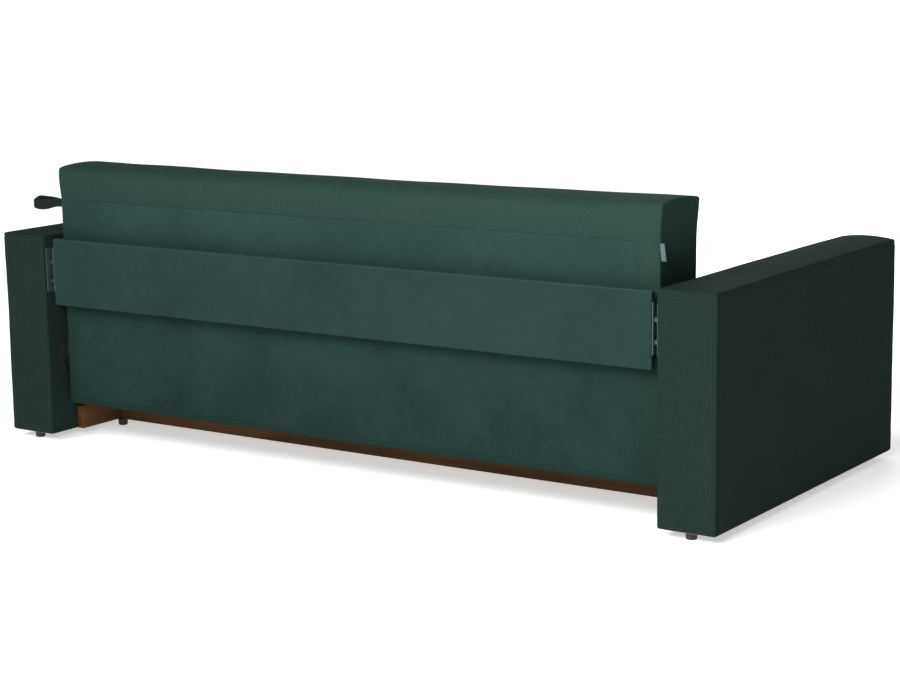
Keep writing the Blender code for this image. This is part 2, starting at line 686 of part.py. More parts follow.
for side_name, side in SIDES:
    back_plate = extrusion(f"back_plate_{side_name}", [capsule(C_POINT, M_POINT, BACK_PLATE_WIDTH)],
                           signed(BACK_PLATE, side), ZINC, BACK)
    plate_middle = (BACK_PLATE[0] + BACK_PLATE[1]) / 2
    fuse(back_plate, stud(f"seat_stud_{side_name}", (plate_middle, BRACKET[1] - FIT), C_POINT, side,
                          collar=BRACKET[0] - FIT))
    fuse(back_plate, stud(f"upper_stud_{side_name}", (plate_middle, LINK[1] - FIT), M_POINT, side,
                          collar=LINK[0] - FIT))


def loop_outline(wall, steps=8):
    """Plan outline of the webbing loop: narrow where it is sewn in, round at its far end.

    Points are (out from the root, forward of its middle). The half depth grows as the square of
    a sine from a quarter of its full size, and then closes in a half circle. wall draws the
    outline in by the webbing's thickness, for the inner face.
    """
    full = STRAP_LOOP / 2
    straight = STRAP_LENGTH - full
    rise = [
        (wall + (straight - wall) * step / steps,
         full * (0.25 + 0.75 * math.sin(0.5 * math.pi * step / steps) ** 2) - wall)
        for step in range(steps)
    ]
    cap = [
        (straight + (full - wall) * math.sin(math.pi * step / steps),
         (full - wall) * math.cos(math.pi * step / steps))
        for step in range(steps + 1)
    ]
    return rise + cap + [(out, -half) for out, half in reversed(rise)]


def make_strap():
    """A closed loop of flat webbing, seen in plan, as tall as the webbing is wide."""
    shape = filled_outlines([loop_outline(0.0), loop_outline(STRAP_THICKNESS)], STRAP_WIDTH)
    root = (SPAN + FIT, y_at(BACK_REAR + STRAP_LOOP / 2), STRAP_HEIGHT)
    place("pull_strap", mesh_from("pull_strap", shape), WEBBING, BACK, root)


make_strap()
box("side_label", (-SPAN - FIT - LABEL_REACH, -SPAN - FIT),
    (BACK_REAR + 2 * LABEL_THICKNESS, BACK_REAR + 3 * LABEL_THICKNESS),
    (LABEL_TOP - LABEL_HEIGHT, LABEL_TOP), LABEL_CLOTH, BACK)

# ---- Seat frame and cushion ---------------------------------------------------------------

SEAT_RAIL = (SEAT_SPAN - SEAT_TIMBER, SEAT_SPAN)
FRAME_HEIGHT = (SEAT_FRAME_BOTTOM, SEAT_FRAME_TOP)
seat_side_rails = {
    side_name: box(f"seat_side_rail_{side_name}", signed(SEAT_RAIL, side),
                   (SEAT_FRAME_REAR, SEAT_FRAME_FRONT), FRAME_HEIGHT, TIMBER, SEAT)
    for side_name, side in SIDES
}
cross_span = (-SEAT_RAIL[0] + FIT, SEAT_RAIL[0] - FIT)
box("seat_rear_rail", cross_span, (SEAT_FRAME_REAR, SEAT_FRAME_REAR + SEAT_TIMBER), FRAME_HEIGHT,
    TIMBER, SEAT)
box("seat_front_rail", cross_span, (SEAT_FRAME_FRONT - SEAT_TIMBER, SEAT_FRAME_FRONT),
    FRAME_HEIGHT, TIMBER, SEAT)
box("seat_deck", (-SEAT_SPAN, SEAT_SPAN), (SEAT_FRAME_REAR, SEAT_FRAME_FRONT),
    (SEAT_FRAME_TOP + FIT, SEAT_FRAME_TOP + FIT + DECK_THICKNESS), PLYWOOD, SEAT)


def cushion_outline(inset, bottom, steps=6):
    """Side view of the seat cushion; its rear follows the arc that the back swings through.

    inset draws the outline in from the cover's outer face. The arc is about pivot C.
    """
    radius = SWING_RADIUS + inset
    top = SEAT_TOP - inset
    start = math.asin((bottom - PIVOT_Z) / radius)
    end = min(math.acos((SEAT_REAR + inset - PIVOT_FORWARD) / radius),
              math.asin((top - CUSHION_REAR_RADIUS - FIT - PIVOT_Z) / radius))
    rear = PIVOT_FORWARD + radius * math.cos(end)
    arc = [
        (PIVOT_FORWARD + radius * math.cos(start + (end - start) * step / steps),
         PIVOT_Z + radius * math.sin(start + (end - start) * step / steps))
        for step in range(steps + 1)
    ]
    front = SEAT_FRONT - inset
    corner = CUSHION_EDGE_RADIUS - inset
    crown = rounded_outline((rear, front), (bottom, top), (0, corner, corner, CUSHION_REAR_RADIUS))
    return crown[1:] + list(reversed(arc))


seat_cover = extrusion("seat_cover", [cushion_outline(0.0, CUSHION_BOTTOM)],
                       (-SEAT_SPAN, SEAT_SPAN), COVER_CLOTH, SEAT)
cut(seat_cover, extrusion(
    "seat_hollow", [cushion_outline(COVER_THICKNESS, CUSHION_BOTTOM + COVER_THICKNESS)],
    (-SEAT_SPAN + COVER_THICKNESS, SEAT_SPAN - COVER_THICKNESS), None, None,
))
cut(seat_cover, block(
    "seat_window", (-SEAT_SPAN + 0.050, SEAT_SPAN - 0.050),
    (SEAT_FRAME_REAR + 0.050, SEAT_FRAME_FRONT - 0.050),
    (CUSHION_BOTTOM - COVER_THICKNESS, CUSHION_BOTTOM + 2 * COVER_THICKNESS),
))
SEAT_SKIN = COVER_THICKNESS + FIT
extrusion("seat_foam", [cushion_outline(SEAT_SKIN, CUSHION_BOTTOM + SEAT_SKIN)],
          (-SEAT_SPAN + SEAT_SKIN, SEAT_SPAN - SEAT_SKIN), FOAM, SEAT)
covered_board("front_panel", SEAT_SPAN,
              (SEAT_FRAME_FRONT + FIT, SEAT_FRAME_FRONT + FIT + FRONT_PANEL_THICKNESS),
              (FRONT_PANEL_BOTTOM, CUSHION_BOTTOM - FIT), -1, 0.030, COVER_CLOTH, SEAT)

# ---- Seat brackets ------------------------------------------------------------------------

FOOT_Z = (ROLLER_Z + ROLLER_RADIUS + SWING_CLEARANCE, PIVOT_Z + BRACKET_BAR / 2)
FOOT_RUN = (BRACKET_FOOT_START, BRACKET_FOOT_START + BRACKET_FOOT_LENGTH)
PACKER_Z = (FOOT_Z[0] + FIT, SEAT_FRAME_TOP - FIT)


def bracket_outline(steps=10):
    """An eye at C, a bar running forward, and a deeper foot that is screwed to the seat."""
    eye = [
        (PIVOT_FORWARD + BRACKET_BAR / 2 * math.cos(angle),
         PIVOT_Z + BRACKET_BAR / 2 * math.sin(angle))
        for angle in (math.pi * (0.5 + step / steps) for step in range(steps + 1))
    ]
    return eye + [
        (FOOT_RUN[0] - BRACKET_SLOPE, PIVOT_Z - BRACKET_BAR / 2), (FOOT_RUN[0], FOOT_Z[0]),
        (FOOT_RUN[1], FOOT_Z[0]), (FOOT_RUN[1], FOOT_Z[1]),
    ]


for side_name, side in SIDES:
    bracket = extrusion(f"seat_bracket_{side_name}",
                        [bracket_outline(), circle(*C_POINT, HOLE_RADIUS)],
                        signed(BRACKET, side), ZINC, SEAT)
    fuse(bracket, block(f"bracket_packer_{side_name}",
                        signed((SEAT_SPAN + FIT, (BRACKET[0] + BRACKET[1]) / 2), side),
                        (FOOT_RUN[0] + FIT, FOOT_RUN[1] - FIT), PACKER_Z))

# ---- Casters under the front and rollers at the rear --------------------------------------

FORK_TOP = SEAT_FRAME_BOTTOM - FIT
FORK_RUN = (CASTER_FORWARD - FORK_PLATE / 2, CASTER_FORWARD + FORK_PLATE / 2)
CHEEK = (CASTER_WIDTH / 2 + 0.001, CASTER_WIDTH / 2 + 0.001 + FORK_METAL)


def make_caster(name, side):
    """Corner block, fork and wheel. The axle is riveted into the fork's two cheeks."""
    box(f"caster_block_{name}", signed((CASTER_OUT - FORK_PLATE / 2, SEAT_RAIL[0] - FIT), side),
        (FORK_RUN[0], SEAT_FRAME_FRONT - SEAT_TIMBER - FIT),
        (SEAT_FRAME_BOTTOM, SEAT_FRAME_BOTTOM + CORNER_BLOCK), TIMBER, SEAT)
    fork = box(f"caster_fork_{name}",
               signed((CASTER_OUT - FORK_PLATE / 2, CASTER_OUT + FORK_PLATE / 2), side),
               FORK_RUN, (FORK_TOP - FORK_METAL, FORK_TOP), ZINC, SEAT)
    for near, far in (CHEEK, (-CHEEK[0], -CHEEK[1])):
        fuse(fork, block("fork_cheek", signed((CASTER_OUT + near, CASTER_OUT + far), side),
                         (CASTER_FORWARD - CHEEK_WIDTH / 2, CASTER_FORWARD + CHEEK_WIDTH / 2),
                         (CASTER_RADIUS - CHEEK_BELOW_AXLE, FORK_TOP - FORK_METAL / 2)))
    reach = CHEEK[1] + AXLE_END
    fuse(fork, turned("caster_axle",
                      rod_profile((CASTER_OUT - reach, CASTER_OUT + reach), AXLE_RADIUS),
                      CASTER_FORWARD, CASTER_RADIUS, side, None, None))
    axis = pivot(f"caster_axis_{name}", CASTER_OUT * side, CASTER_FORWARD, CASTER_RADIUS)
    half = CASTER_WIDTH / 2
    hole = AXLE_RADIUS + PIN_CLEARANCE
    hub = hole + 0.004
    rim = CASTER_RADIUS * 0.78
    half_profile = [(CASTER_RADIUS, 0.7 * half), (CASTER_RADIUS - 0.25 * half, half), (rim, half),
                    (rim - 0.001, 0.55 * half), (hub + 0.001, 0.55 * half), (hub, half),
                    (hole, half)]
    profile = [(radius, CASTER_OUT + offset) for radius, offset in reversed(half_profile)]
    profile += [(radius, CASTER_OUT - offset) for radius, offset in half_profile]
    turned(f"caster_wheel_{name}", profile, CASTER_FORWARD, CASTER_RADIUS, side, WHEEL_RUBBER,
           axis, ring=True)


def make_roller(name, side):
    """A roller with its own trunnion, which turns in a bore of the seat's side rail."""
    middle = (SEAT_SPAN + ARM_INNER) / 2
    near, far = middle - ROLLER_WIDTH / 2, middle + ROLLER_WIDTH / 2
    inner_end = SEAT_RAIL[0] - 0.004
    cut(seat_side_rails[name], bore(f"roller_bore_{name}", (inner_end - 0.002, near),
                                    ROLLER_FORWARD, ROLLER_Z, side))
    axis = pivot(f"roller_axis_{name}", middle * side, ROLLER_FORWARD, ROLLER_Z)
    edge = 0.15 * ROLLER_WIDTH
    turned(f"rear_roller_{name}", [
        (0.0, far), (ROLLER_RADIUS - edge, far), (ROLLER_RADIUS, far - edge),
        (ROLLER_RADIUS, near + edge), (ROLLER_RADIUS - edge, near), (AXLE_RADIUS, near),
        (AXLE_RADIUS, inner_end), (0.0, inner_end),
    ], ROLLER_FORWARD, ROLLER_Z, side, WHEEL_RUBBER, axis)


for side_name, side in SIDES:
    make_caster(side_name, side)
    make_roller(side_name, side)
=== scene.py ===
# %% [markdown]
# A sofa bed dressed for its portrait. The frame, the fold linkage, the wheels and the plain
# solids under the cloth already exist as an engineering model. This lesson adds what a maker
# adds after the joinery: the sewn covers, the lining, the webbing pull, the label, the threads,
# and a real finish on every surface. Nothing of the engineering model is moved.

# %% Load the frame and keep its size
import json
import math
import time

import bmesh
import bpy
import numpy as np
from mathutils import Matrix, Vector


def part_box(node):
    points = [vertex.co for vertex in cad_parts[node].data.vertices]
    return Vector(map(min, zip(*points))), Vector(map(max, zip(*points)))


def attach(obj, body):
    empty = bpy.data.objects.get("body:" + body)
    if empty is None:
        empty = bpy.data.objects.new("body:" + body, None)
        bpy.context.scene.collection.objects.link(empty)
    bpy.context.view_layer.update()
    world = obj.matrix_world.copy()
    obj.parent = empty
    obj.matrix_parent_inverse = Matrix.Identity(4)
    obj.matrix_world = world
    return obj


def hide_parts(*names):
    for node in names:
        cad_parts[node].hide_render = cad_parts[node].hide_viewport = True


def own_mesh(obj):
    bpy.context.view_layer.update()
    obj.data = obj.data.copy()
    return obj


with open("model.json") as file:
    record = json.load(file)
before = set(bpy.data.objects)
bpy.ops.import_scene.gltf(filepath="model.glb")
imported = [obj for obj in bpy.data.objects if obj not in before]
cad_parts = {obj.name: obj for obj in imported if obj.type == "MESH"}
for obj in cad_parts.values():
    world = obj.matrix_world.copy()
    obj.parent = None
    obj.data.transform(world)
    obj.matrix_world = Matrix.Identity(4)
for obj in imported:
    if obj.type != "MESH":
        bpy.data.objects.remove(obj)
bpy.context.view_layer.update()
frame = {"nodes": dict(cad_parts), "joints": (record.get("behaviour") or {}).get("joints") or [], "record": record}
SLOT_OF = {entry["node"]: entry["material_slot"] for entry in frame["record"]["subparts"]}


def limits(node):
    """Lowest and highest corner of a node as numpy rows."""
    low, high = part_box(node)
    return np.array(low), np.array(high)


# %% [markdown]
# Shader nodes read best as sums. A Wire stands for one socket, and + - * between wires and
# numbers adds a Math node. A Look is a material with its Principled shader and one method that
# adds any other node: settings first, then the values or wires of its sockets.

# %% A small language for shaders
class Wire:
    """One output socket that can be used in a Python expression."""

    def __init__(self, look, socket):
        self.look = look
        self.socket = socket

    def math(self, operation, *others):
        return self.look.add("ShaderNodeMath", {"operation": operation},
                             dict(enumerate((self, *others))))

    def __add__(self, other):
        return self.math("ADD", other)

    def __mul__(self, other):
        return self.math("MULTIPLY", other)

    def __sub__(self, other):
        return self.math("SUBTRACT", other)

    __radd__ = __add__
    __rmul__ = __mul__


class Look:
    """A material whose nodes are written as expressions."""

    def __init__(self, name, roughness, metallic=0.0, **constants):
        self.material = bpy.data.materials.new(name)
        self.material.use_nodes = True
        self.tree = self.material.node_tree
        self.shader = self.tree.nodes["Principled BSDF"]
        self.feed(self.shader, {"Roughness": roughness, "Metallic": metallic, **constants})

    def feed(self, node, sockets):
        for key, value in sockets.items():
            socket = node.inputs[key]
            if isinstance(value, Wire):
                self.tree.links.new(value.socket, socket)
            elif hasattr(value, "__len__") and len(value) == 3 and socket.type == "RGBA":
                socket.default_value = (*value, 1.0)
            else:
                socket.default_value = value

    def add(self, kind, settings, sockets, out=0):
        node = self.tree.nodes.new(kind)
        for key, value in settings.items():
            setattr(node, key, value)
        self.feed(node, sockets)
        return Wire(self, node.outputs[out])

    def colour_mix(self, factor, first, second):
        return self.add("ShaderNodeMix", {"data_type": "RGBA"}, {0: factor, 6: first, 7: second}, 2)

    def noise(self, vector, scale, detail=2.0, roughness=0.5):
        return self.add("ShaderNodeTexNoise", {}, {
            "Vector": vector, "Scale": scale, "Detail": detail, "Roughness": roughness})

    def place(self, out="Object"):
        return self.add("ShaderNodeTexCoord", {}, {}, out)

    def stretched(self, vector, scale):
        return self.add("ShaderNodeMapping", {}, {"Vector": vector, "Scale": scale})

    def relief(self, height, distance, strength=1.0):
        bump = self.add("ShaderNodeBump", {}, {
            "Height": height, "Distance": distance, "Strength": strength})
        self.feed(self.shader, {"Normal": bump})

    def wear(self, **sockets):
        self.feed(self.shader, {key.replace("_", " "): value for key, value in sockets.items()})
        return self.material


# %% [markdown]
# The covers are a plain weave in a heathered green: threads a little over a millimetre apart,
# crossing over and under. The height of such a cloth is the product of two waves, one along each
# set of threads. Slubs, the thick places in a yarn, are noise drawn out along the thread, and the
# heather is short pale dashes of another fibre. The colour varies from thread to thread and, far
# more slowly, over a hand's breadth. Painted shade darkens some cloths towards the floor and
# lightens them higher up. Above the height rim the colour is painted lighter, a painted highlight
# where the board's upper edge catches the light. The pattern reads each piece's own UV map, which
# is in metres, so that every piece has the same scale.

# %% Woven cloth
def woven(name, base, pitch, contrast, depth, fleck, mottle=0.16, painted_shade_slope=0.0, rim=None):
    """A cloth whose threads are pitch metres apart and whose relief is depth metres.

    contrast, fleck and mottle are how far the slubs, the heather and the broad patches move the
    shade; 0 is the dark tone, 0.5 the base colour and 1 the light tone.
    """
    look = Look(name, 0.88, **{"Sheen Weight": 0.004, "Sheen Roughness": 0.5,
                               "Specular IOR Level": 0.02})
    uv = look.place("UV")
    across = look.add("ShaderNodeSeparateXYZ", {}, {0: uv}, 0)
    along = look.add("ShaderNodeSeparateXYZ", {}, {0: uv}, 1)
    warp = (across * (math.pi / pitch)).math("SINE")
    weft = (along * (math.pi / pitch)).math("SINE")
    slub_across = look.noise(look.stretched(uv, (900.0, 60.0, 1.0)), 1.0)
    slub_along = look.noise(look.stretched(uv, (60.0, 900.0, 1.0)), 1.0)
    slubs = slub_across * 0.5 + slub_along * 0.5
    broad = look.noise(look.place(), 5.0, 3.0)
    nap = look.noise(look.place(), 38.0, 2.0)
    heather = look.noise(look.stretched(uv, (95.0, 430.0, 1.0)), 1.0, 3.0)
    shade = ((slubs - 0.5) * contrast + (broad - 0.5) * mottle + (nap - 0.5) * (0.5 * mottle)
             + (heather - 0.5) * fleck + 0.5)
    height = look.add("ShaderNodeSeparateXYZ", {}, {0: look.place()}, 2)
    # painted shade: the colour darkens below 0.62 m and lightens above it, in proportion to the height
    shade = shade + (height - 0.62) * painted_shade_slope
    # painted highlight: above the height rim the colour is painted lighter, where the board's top catches the
    # light
    if rim:
        shade = shade + height.math("GREATER_THAN", rim) * 0.5
    dark = tuple(0.55 * value for value in base)
    light = tuple(1.45 * value for value in base)
    look.relief(warp * weft * 0.5 + slubs, depth, 0.7)
    return look.wear(Base_Color=look.colour_mix(shade.math("MAXIMUM", 0.0), dark, light))


COVER = woven("cover_cloth_weave", (0.0198, 0.0420, 0.0358), 0.0013, 0.9, 0.0004, 0.9)
# the back's cover carries painted shade, darker towards the floor
BACK_CLOTH = woven("back_cloth_weave", (0.0186, 0.0392, 0.0335), 0.0013, 0.9, 0.0004, 0.9, painted_shade_slope=0.85)
ARM_COVER = woven("arm_cloth_weave", (0.0128, 0.0240, 0.0205), 0.0013, 0.9, 0.0004, 1.1)
# the lining carries painted shade, darker towards the floor
LINING = woven("lining_cloth_weave", (0.0180, 0.0410, 0.0368), 0.0009, 0.3, 0.0002, 0.15, 0.60,
               painted_shade_slope=0.8)
# the board's cover carries a painted highlight along its top edge
BOARD_CLOTH = woven("board_cloth_weave", (0.0165, 0.0350, 0.0316), 0.0009, 0.3, 0.0002, 0.15, 0.55,
                    rim=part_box("rear_board_cover")[1][2] - 0.0028)
print("cloth looks made")

# %% [markdown]
# Webbing is a close twill: its ribs run across the strap, and polyester thread gives it a sheen.
# The label is a satin ribbon with a fine cross rib and a darker line of stitching at its foot.

# %% Webbing, label and thread
def webbing():
    look = Look("pull_webbing", 0.38, **{"Specular IOR Level": 0.10})
    uv = look.place("UV")
    along = look.add("ShaderNodeSeparateXYZ", {}, {0: uv}, 0)
    across = look.add("ShaderNodeSeparateXYZ", {}, {0: uv}, 1)
    ribs = (along * (2 * math.pi / 0.0022) + (across * 1400.0).math("SINE") * 1.2).math("SINE")
    fleck = look.noise(look.stretched(uv, (300.0, 1500.0, 1.0)), 1.0)
    look.relief(ribs * 0.5 + fleck * 0.5, 0.0004, 0.8)
    return look.wear(Base_Color=look.colour_mix(fleck, (0.003, 0.006, 0.005), (0.010, 0.020, 0.018)))


def ribbon():
    look = Look("label_ribbon", 0.6, **{"Sheen Weight": 0.05})
    uv = look.place("UV")
    along = look.add("ShaderNodeSeparateXYZ", {}, {0: uv}, 1)
    ribs = (along * (2 * math.pi / 0.0012)).math("SINE")
    fleck = look.noise(look.stretched(uv, (2000.0, 400.0, 1.0)), 1.0)
    stitch = (along - 0.0045).math("ABSOLUTE").math("LESS_THAN", 0.0006)
    look.relief(ribs, 0.0001, 0.5)
    plain = look.colour_mix(fleck, (0.042, 0.082, 0.076), (0.070, 0.128, 0.118))
    return look.wear(Base_Color=look.colour_mix(stitch * 0.7, plain, (0.02, 0.05, 0.045)))


def thread(name, base):
    look = Look(name, 0.6, **{"Sheen Weight": 0.05, "Specular IOR Level": 0.2})
    twist = look.noise(look.place(), 900.0)
    return look.wear(Base_Color=look.colour_mix(
        twist, tuple(0.7 * value for value in base), tuple(1.4 * value for value in base)))


WEBBING = webbing()
RIBBON = ribbon()
THREAD = thread("sewing_thread", (0.020, 0.044, 0.038))
DARK_THREAD = thread("dark_thread", (0.012, 0.025, 0.022))

# %% [markdown]
# Timber has rings that run the length of the board, so its noise is drawn out along the grain
# and then bent by a second, broader noise. Each board keeps the direction of its longest side.

# %% Timber and plywood
def timber(name, axis, pale, dark, ring=26.0):
    look = Look(name, 0.62, **{"Specular IOR Level": 0.15})
    scale = [1.0, 1.0, 1.0]
    scale[axis] = 0.06
    place = look.place()
    bend = look.noise(place, 3.0, 2.0)
    rings = look.noise(look.stretched(place, scale), ring, 4.0, 0.6)
    grain = ((rings * 9.0 + bend * 4.0).math("SINE")) * 0.5 + 0.5
    scale[axis] = 0.02
    fibre = look.noise(look.stretched(place, scale), 420.0, 2.0)
    look.relief(grain * 0.3 + fibre, 0.0003, 0.5)
    look.feed(look.shader, {"Roughness": fibre * 0.25 + 0.5})
    return look.wear(Base_Color=look.colour_mix(grain * 0.6 + fibre * 0.4, pale, dark))


TIMBER = [timber(f"timber_grain_{letter}", axis, (0.43, 0.25, 0.105), (0.24, 0.115, 0.040))
          for axis, letter in enumerate("xyz")]
STAINED = [timber(f"stained_grain_{letter}", axis, (0.120, 0.056, 0.018), (0.045, 0.019, 0.007))
           for axis, letter in enumerate("xyz")]
PLYWOOD = timber("plywood_face", 0, (0.56, 0.39, 0.21), (0.40, 0.25, 0.12), ring=9.0)

# %% [markdown]
# The hardware is zinc-plated steel: mottled where the plating crystallised, brighter on the rubbed
# places, with fine scratches from the rolling mill. The feet are moulded plastic with a spark-eroded
# texture, the wheels hard rubber with a dusty tread, and the foam an open-cell cream block.

# %% Metal, plastic, rubber and foam
def zinc():
    look = Look("zinc_plating_painted_shade", 0.34, 1.0)
    place = look.place()
    bloom = look.noise(place, 90.0, 4.0)
    scratch = look.noise(look.stretched(place, (60.0, 60.0, 2200.0)), 1.0)
    look.relief(scratch, 0.00004, 0.6)
    look.feed(look.shader, {"Roughness": bloom * 0.28 + scratch * 0.12 + 0.16})
    # the zinc's colours are darkened as painted shade, for hardware that sits in the frame's shaded gaps
    return look.wear(Base_Color=look.colour_mix(bloom, (0.25, 0.28, 0.275), (0.42, 0.45, 0.44)))


def moulded(name, dark, light, grain, roughness):
    look = Look(name, roughness)
    place = look.place()
    pits = look.noise(place, grain, 2.0)
    dust = look.noise(place, 60.0, 3.0)
    look.relief(pits, 0.00012, 0.5)
    look.feed(look.shader, {"Roughness": pits * 0.2 + (roughness - 0.1)})
    return look.wear(Base_Color=look.colour_mix(dust, dark, light))


ZINC = zinc()
# the plates' green paint is darkened further as painted shade, for the shaded gaps beside the arms where they sit
PAINTED = moulded("green_enamel", (0.018, 0.036, 0.033), (0.034, 0.062, 0.057), 300.0, 0.5)
PLASTIC = moulded("foot_plastic", (0.003, 0.003, 0.003), (0.010, 0.010, 0.010), 1500.0, 0.45)
RUBBER = moulded("wheel_tread", (0.018, 0.018, 0.018), (0.055, 0.052, 0.048), 900.0, 0.75)
FOAM = moulded("open_cell_foam", (0.62, 0.58, 0.47), (0.80, 0.77, 0.66), 700.0, 0.95)


def paint(item, material):
    item.data.materials.clear()
    item.data.materials.append(material)


for name, item in frame["nodes"].items():
    low, high = limits(name)
    slot = SLOT_OF[name]
    longest = int(np.argmax(high - low))
    paint(item, {
        "timber": TIMBER[longest], "stained_timber": STAINED[longest], "plywood": PLYWOOD,
        "zinc_plate": ZINC, "painted_plate": PAINTED,
        "black_plastic": PLASTIC, "wheel_rubber": RUBBER, "foam": FOAM, "webbing": WEBBING,
        "label_cloth": RIBBON, "lining_cloth": LINING, "cover_cloth": COVER,
    }[slot])
print("frame nodes painted:", len(frame["nodes"]))

# %% [markdown]
# Every cover starts as a block with rounded edges, on a lattice that is fine where the cloth
# turns and where a seam runs, and coarse in between. A point q of the block's surface is split
# into c, the nearest point of the block drawn in by the radius, and q - c. Its place is
# c + radius (q - c) / |q - c|, so flat faces stay flat and edges become true arcs.

# %% A rounded block on a lattice
def lattice_lines(low, high, radius, step, seams=(), soft=0.0):
    """Places of the lattice's lines along one axis.

    Edge lines lie at radius * tan(angle) for five even angles up to 45 degrees. Lines about
    step apart fill the middle, and soft adds lines 4 mm apart that far in from both ends.
    """
    arc = radius * np.tan(np.linspace(0, math.pi / 4, 5))
    count = max(2, round((high - low - 2 * radius) / step))
    middle = np.linspace(low + radius, high - radius, count + 1)
    near = np.arange(radius, soft, 0.004)
    fine = np.array([seam + offset for seam in seams
                     for offset in (-0.009, -0.0045, -0.002, 0.0, 0.002, 0.0045, 0.009)])
    lines = np.concatenate([low + radius - arc, high - radius + arc, fine,
                            low + near, high - near, middle])
    rank = np.concatenate([np.zeros(10), np.ones(len(fine)), np.ones(2 * len(near)) * 2,
                           np.ones(len(middle)) * 3])
    order = np.lexsort((rank, lines))
    lines, rank = lines[order], rank[order]
    for level, gap in ((3, 0.45 * step), (2, 0.0022), (1, 0.0012)):
        close = np.abs(lines[:, None] - lines[None, :]) < gap
        beaten = (close & (rank[None, :] < rank[:, None])).any(1) & (rank == level)
        twin = np.r_[False, np.diff(lines) < 1e-7]
        lines, rank = lines[~(beaten | twin)], rank[~(beaten | twin)]
    return lines


def rounded_block(lines, radius):
    """Vertices, quads, loop UVs in metres and outward directions of a rounded block.

    lines are the three axes' lattice lines. Each face is a grid over two of them, and the grids
    share the lattice points on their common edges.
    """
    counts = [len(axis) for axis in lines]
    keys, uvs = [], []
    for axis in range(3):
        first, second = (axis + 1) % 3, (axis + 2) % 3
        i, j = np.meshgrid(np.arange(counts[first]), np.arange(counts[second]), indexing="ij")
        for end in (0, counts[axis] - 1):
            index = np.zeros((*i.shape, 3), int)
            index[..., axis], index[..., first], index[..., second] = end, i, j
            corners = [index[:-1, :-1], index[1:, :-1], index[1:, 1:], index[:-1, 1:]]
            quad = np.stack(corners if end else corners[::-1], axis=2).reshape(-1, 4, 3)
            keys.append(quad)
            flat = (0, 2) if axis == 1 else (0, 1) if axis == 2 else (1, 2)
            uvs.append(np.stack([lines[side][quad[..., side]] for side in flat], axis=-1))
    quads = np.concatenate(keys)
    code = (quads[..., 0] * counts[1] + quads[..., 1]) * counts[2] + quads[..., 2]
    unique, inverse = np.unique(code, return_inverse=True)
    triple = np.stack([unique // (counts[1] * counts[2]), unique // counts[2] % counts[1],
                       unique % counts[2]], axis=1)
    outer = np.stack([lines[axis][triple[:, axis]] for axis in range(3)], axis=1)
    low = np.array([axis[0] for axis in lines]) + radius
    high = np.array([axis[-1] for axis in lines]) - radius
    core = np.clip(outer, low, high)
    away = outer - core
    away /= np.linalg.norm(away, axis=1, keepdims=True)
    return (core + radius * away, inverse.reshape(-1, 4), np.concatenate(uvs).reshape(-1, 2), away)


def surface(name, points, quads, uvs, material):
    """An object at the origin made of quads, with a UV map in metres."""
    mesh = bpy.data.meshes.new(name)
    mesh.from_pydata(points.tolist(), [], quads.tolist())
    mesh.uv_layers.new(name="cloth").data.foreach_set("uv", np.asarray(uvs, float).ravel())
    mesh.polygons.foreach_set("use_smooth", np.ones(len(quads), bool))
    mesh.update()
    item = bpy.data.objects.new(name, mesh)
    bpy.context.scene.collection.objects.link(item)
    mesh.materials.append(material)
    return item


def smooth(value, start, end):
    """Zero before start, one after end, and 3t^2 - 2t^3 in between."""
    t = np.clip((value - start) / (end - start), 0.0, 1.0)
    return t * t * (3 - 2 * t)


def soften_edge(points, y_face, y_in, z_face, z_in, radius):
    """Turn one long square edge into an arc of this radius.

    a and b are how far a point lies beyond the arc's centre line, towards each face. A point of
    the square corner moves to (a, b) max(a, b) / hypot(a, b).
    """
    a = np.clip((points[:, 1] - (y_face + y_in * radius)) * -y_in, 0, None)
    b = np.clip((points[:, 2] - (z_face + z_in * radius)) * -z_in, 0, None)
    long = np.hypot(a, b)
    share = np.where(long > 0, np.maximum(a, b) / np.maximum(long, 1e-9), 1.0)
    both = (a > 0) & (b > 0)
    points[:, 1] += np.where(both, a * (share - 1) * -y_in, 0)
    points[:, 2] += np.where(both, b * (share - 1) * -z_in, 0)


# %% [markdown]
# Padding pushes its cover outwards, most in the middle of a panel and not at all where it is
# sewn. Blender's Cloth does this: the sewn points are pinned, pressure fills the cover for twenty
# frames without gravity, and what comes out is scaled so that no point stands further out than
# its panel's crown. The result becomes the mesh, and no simulation is left on it.

# %% Padding by cloth simulation
SIM_SECONDS = []


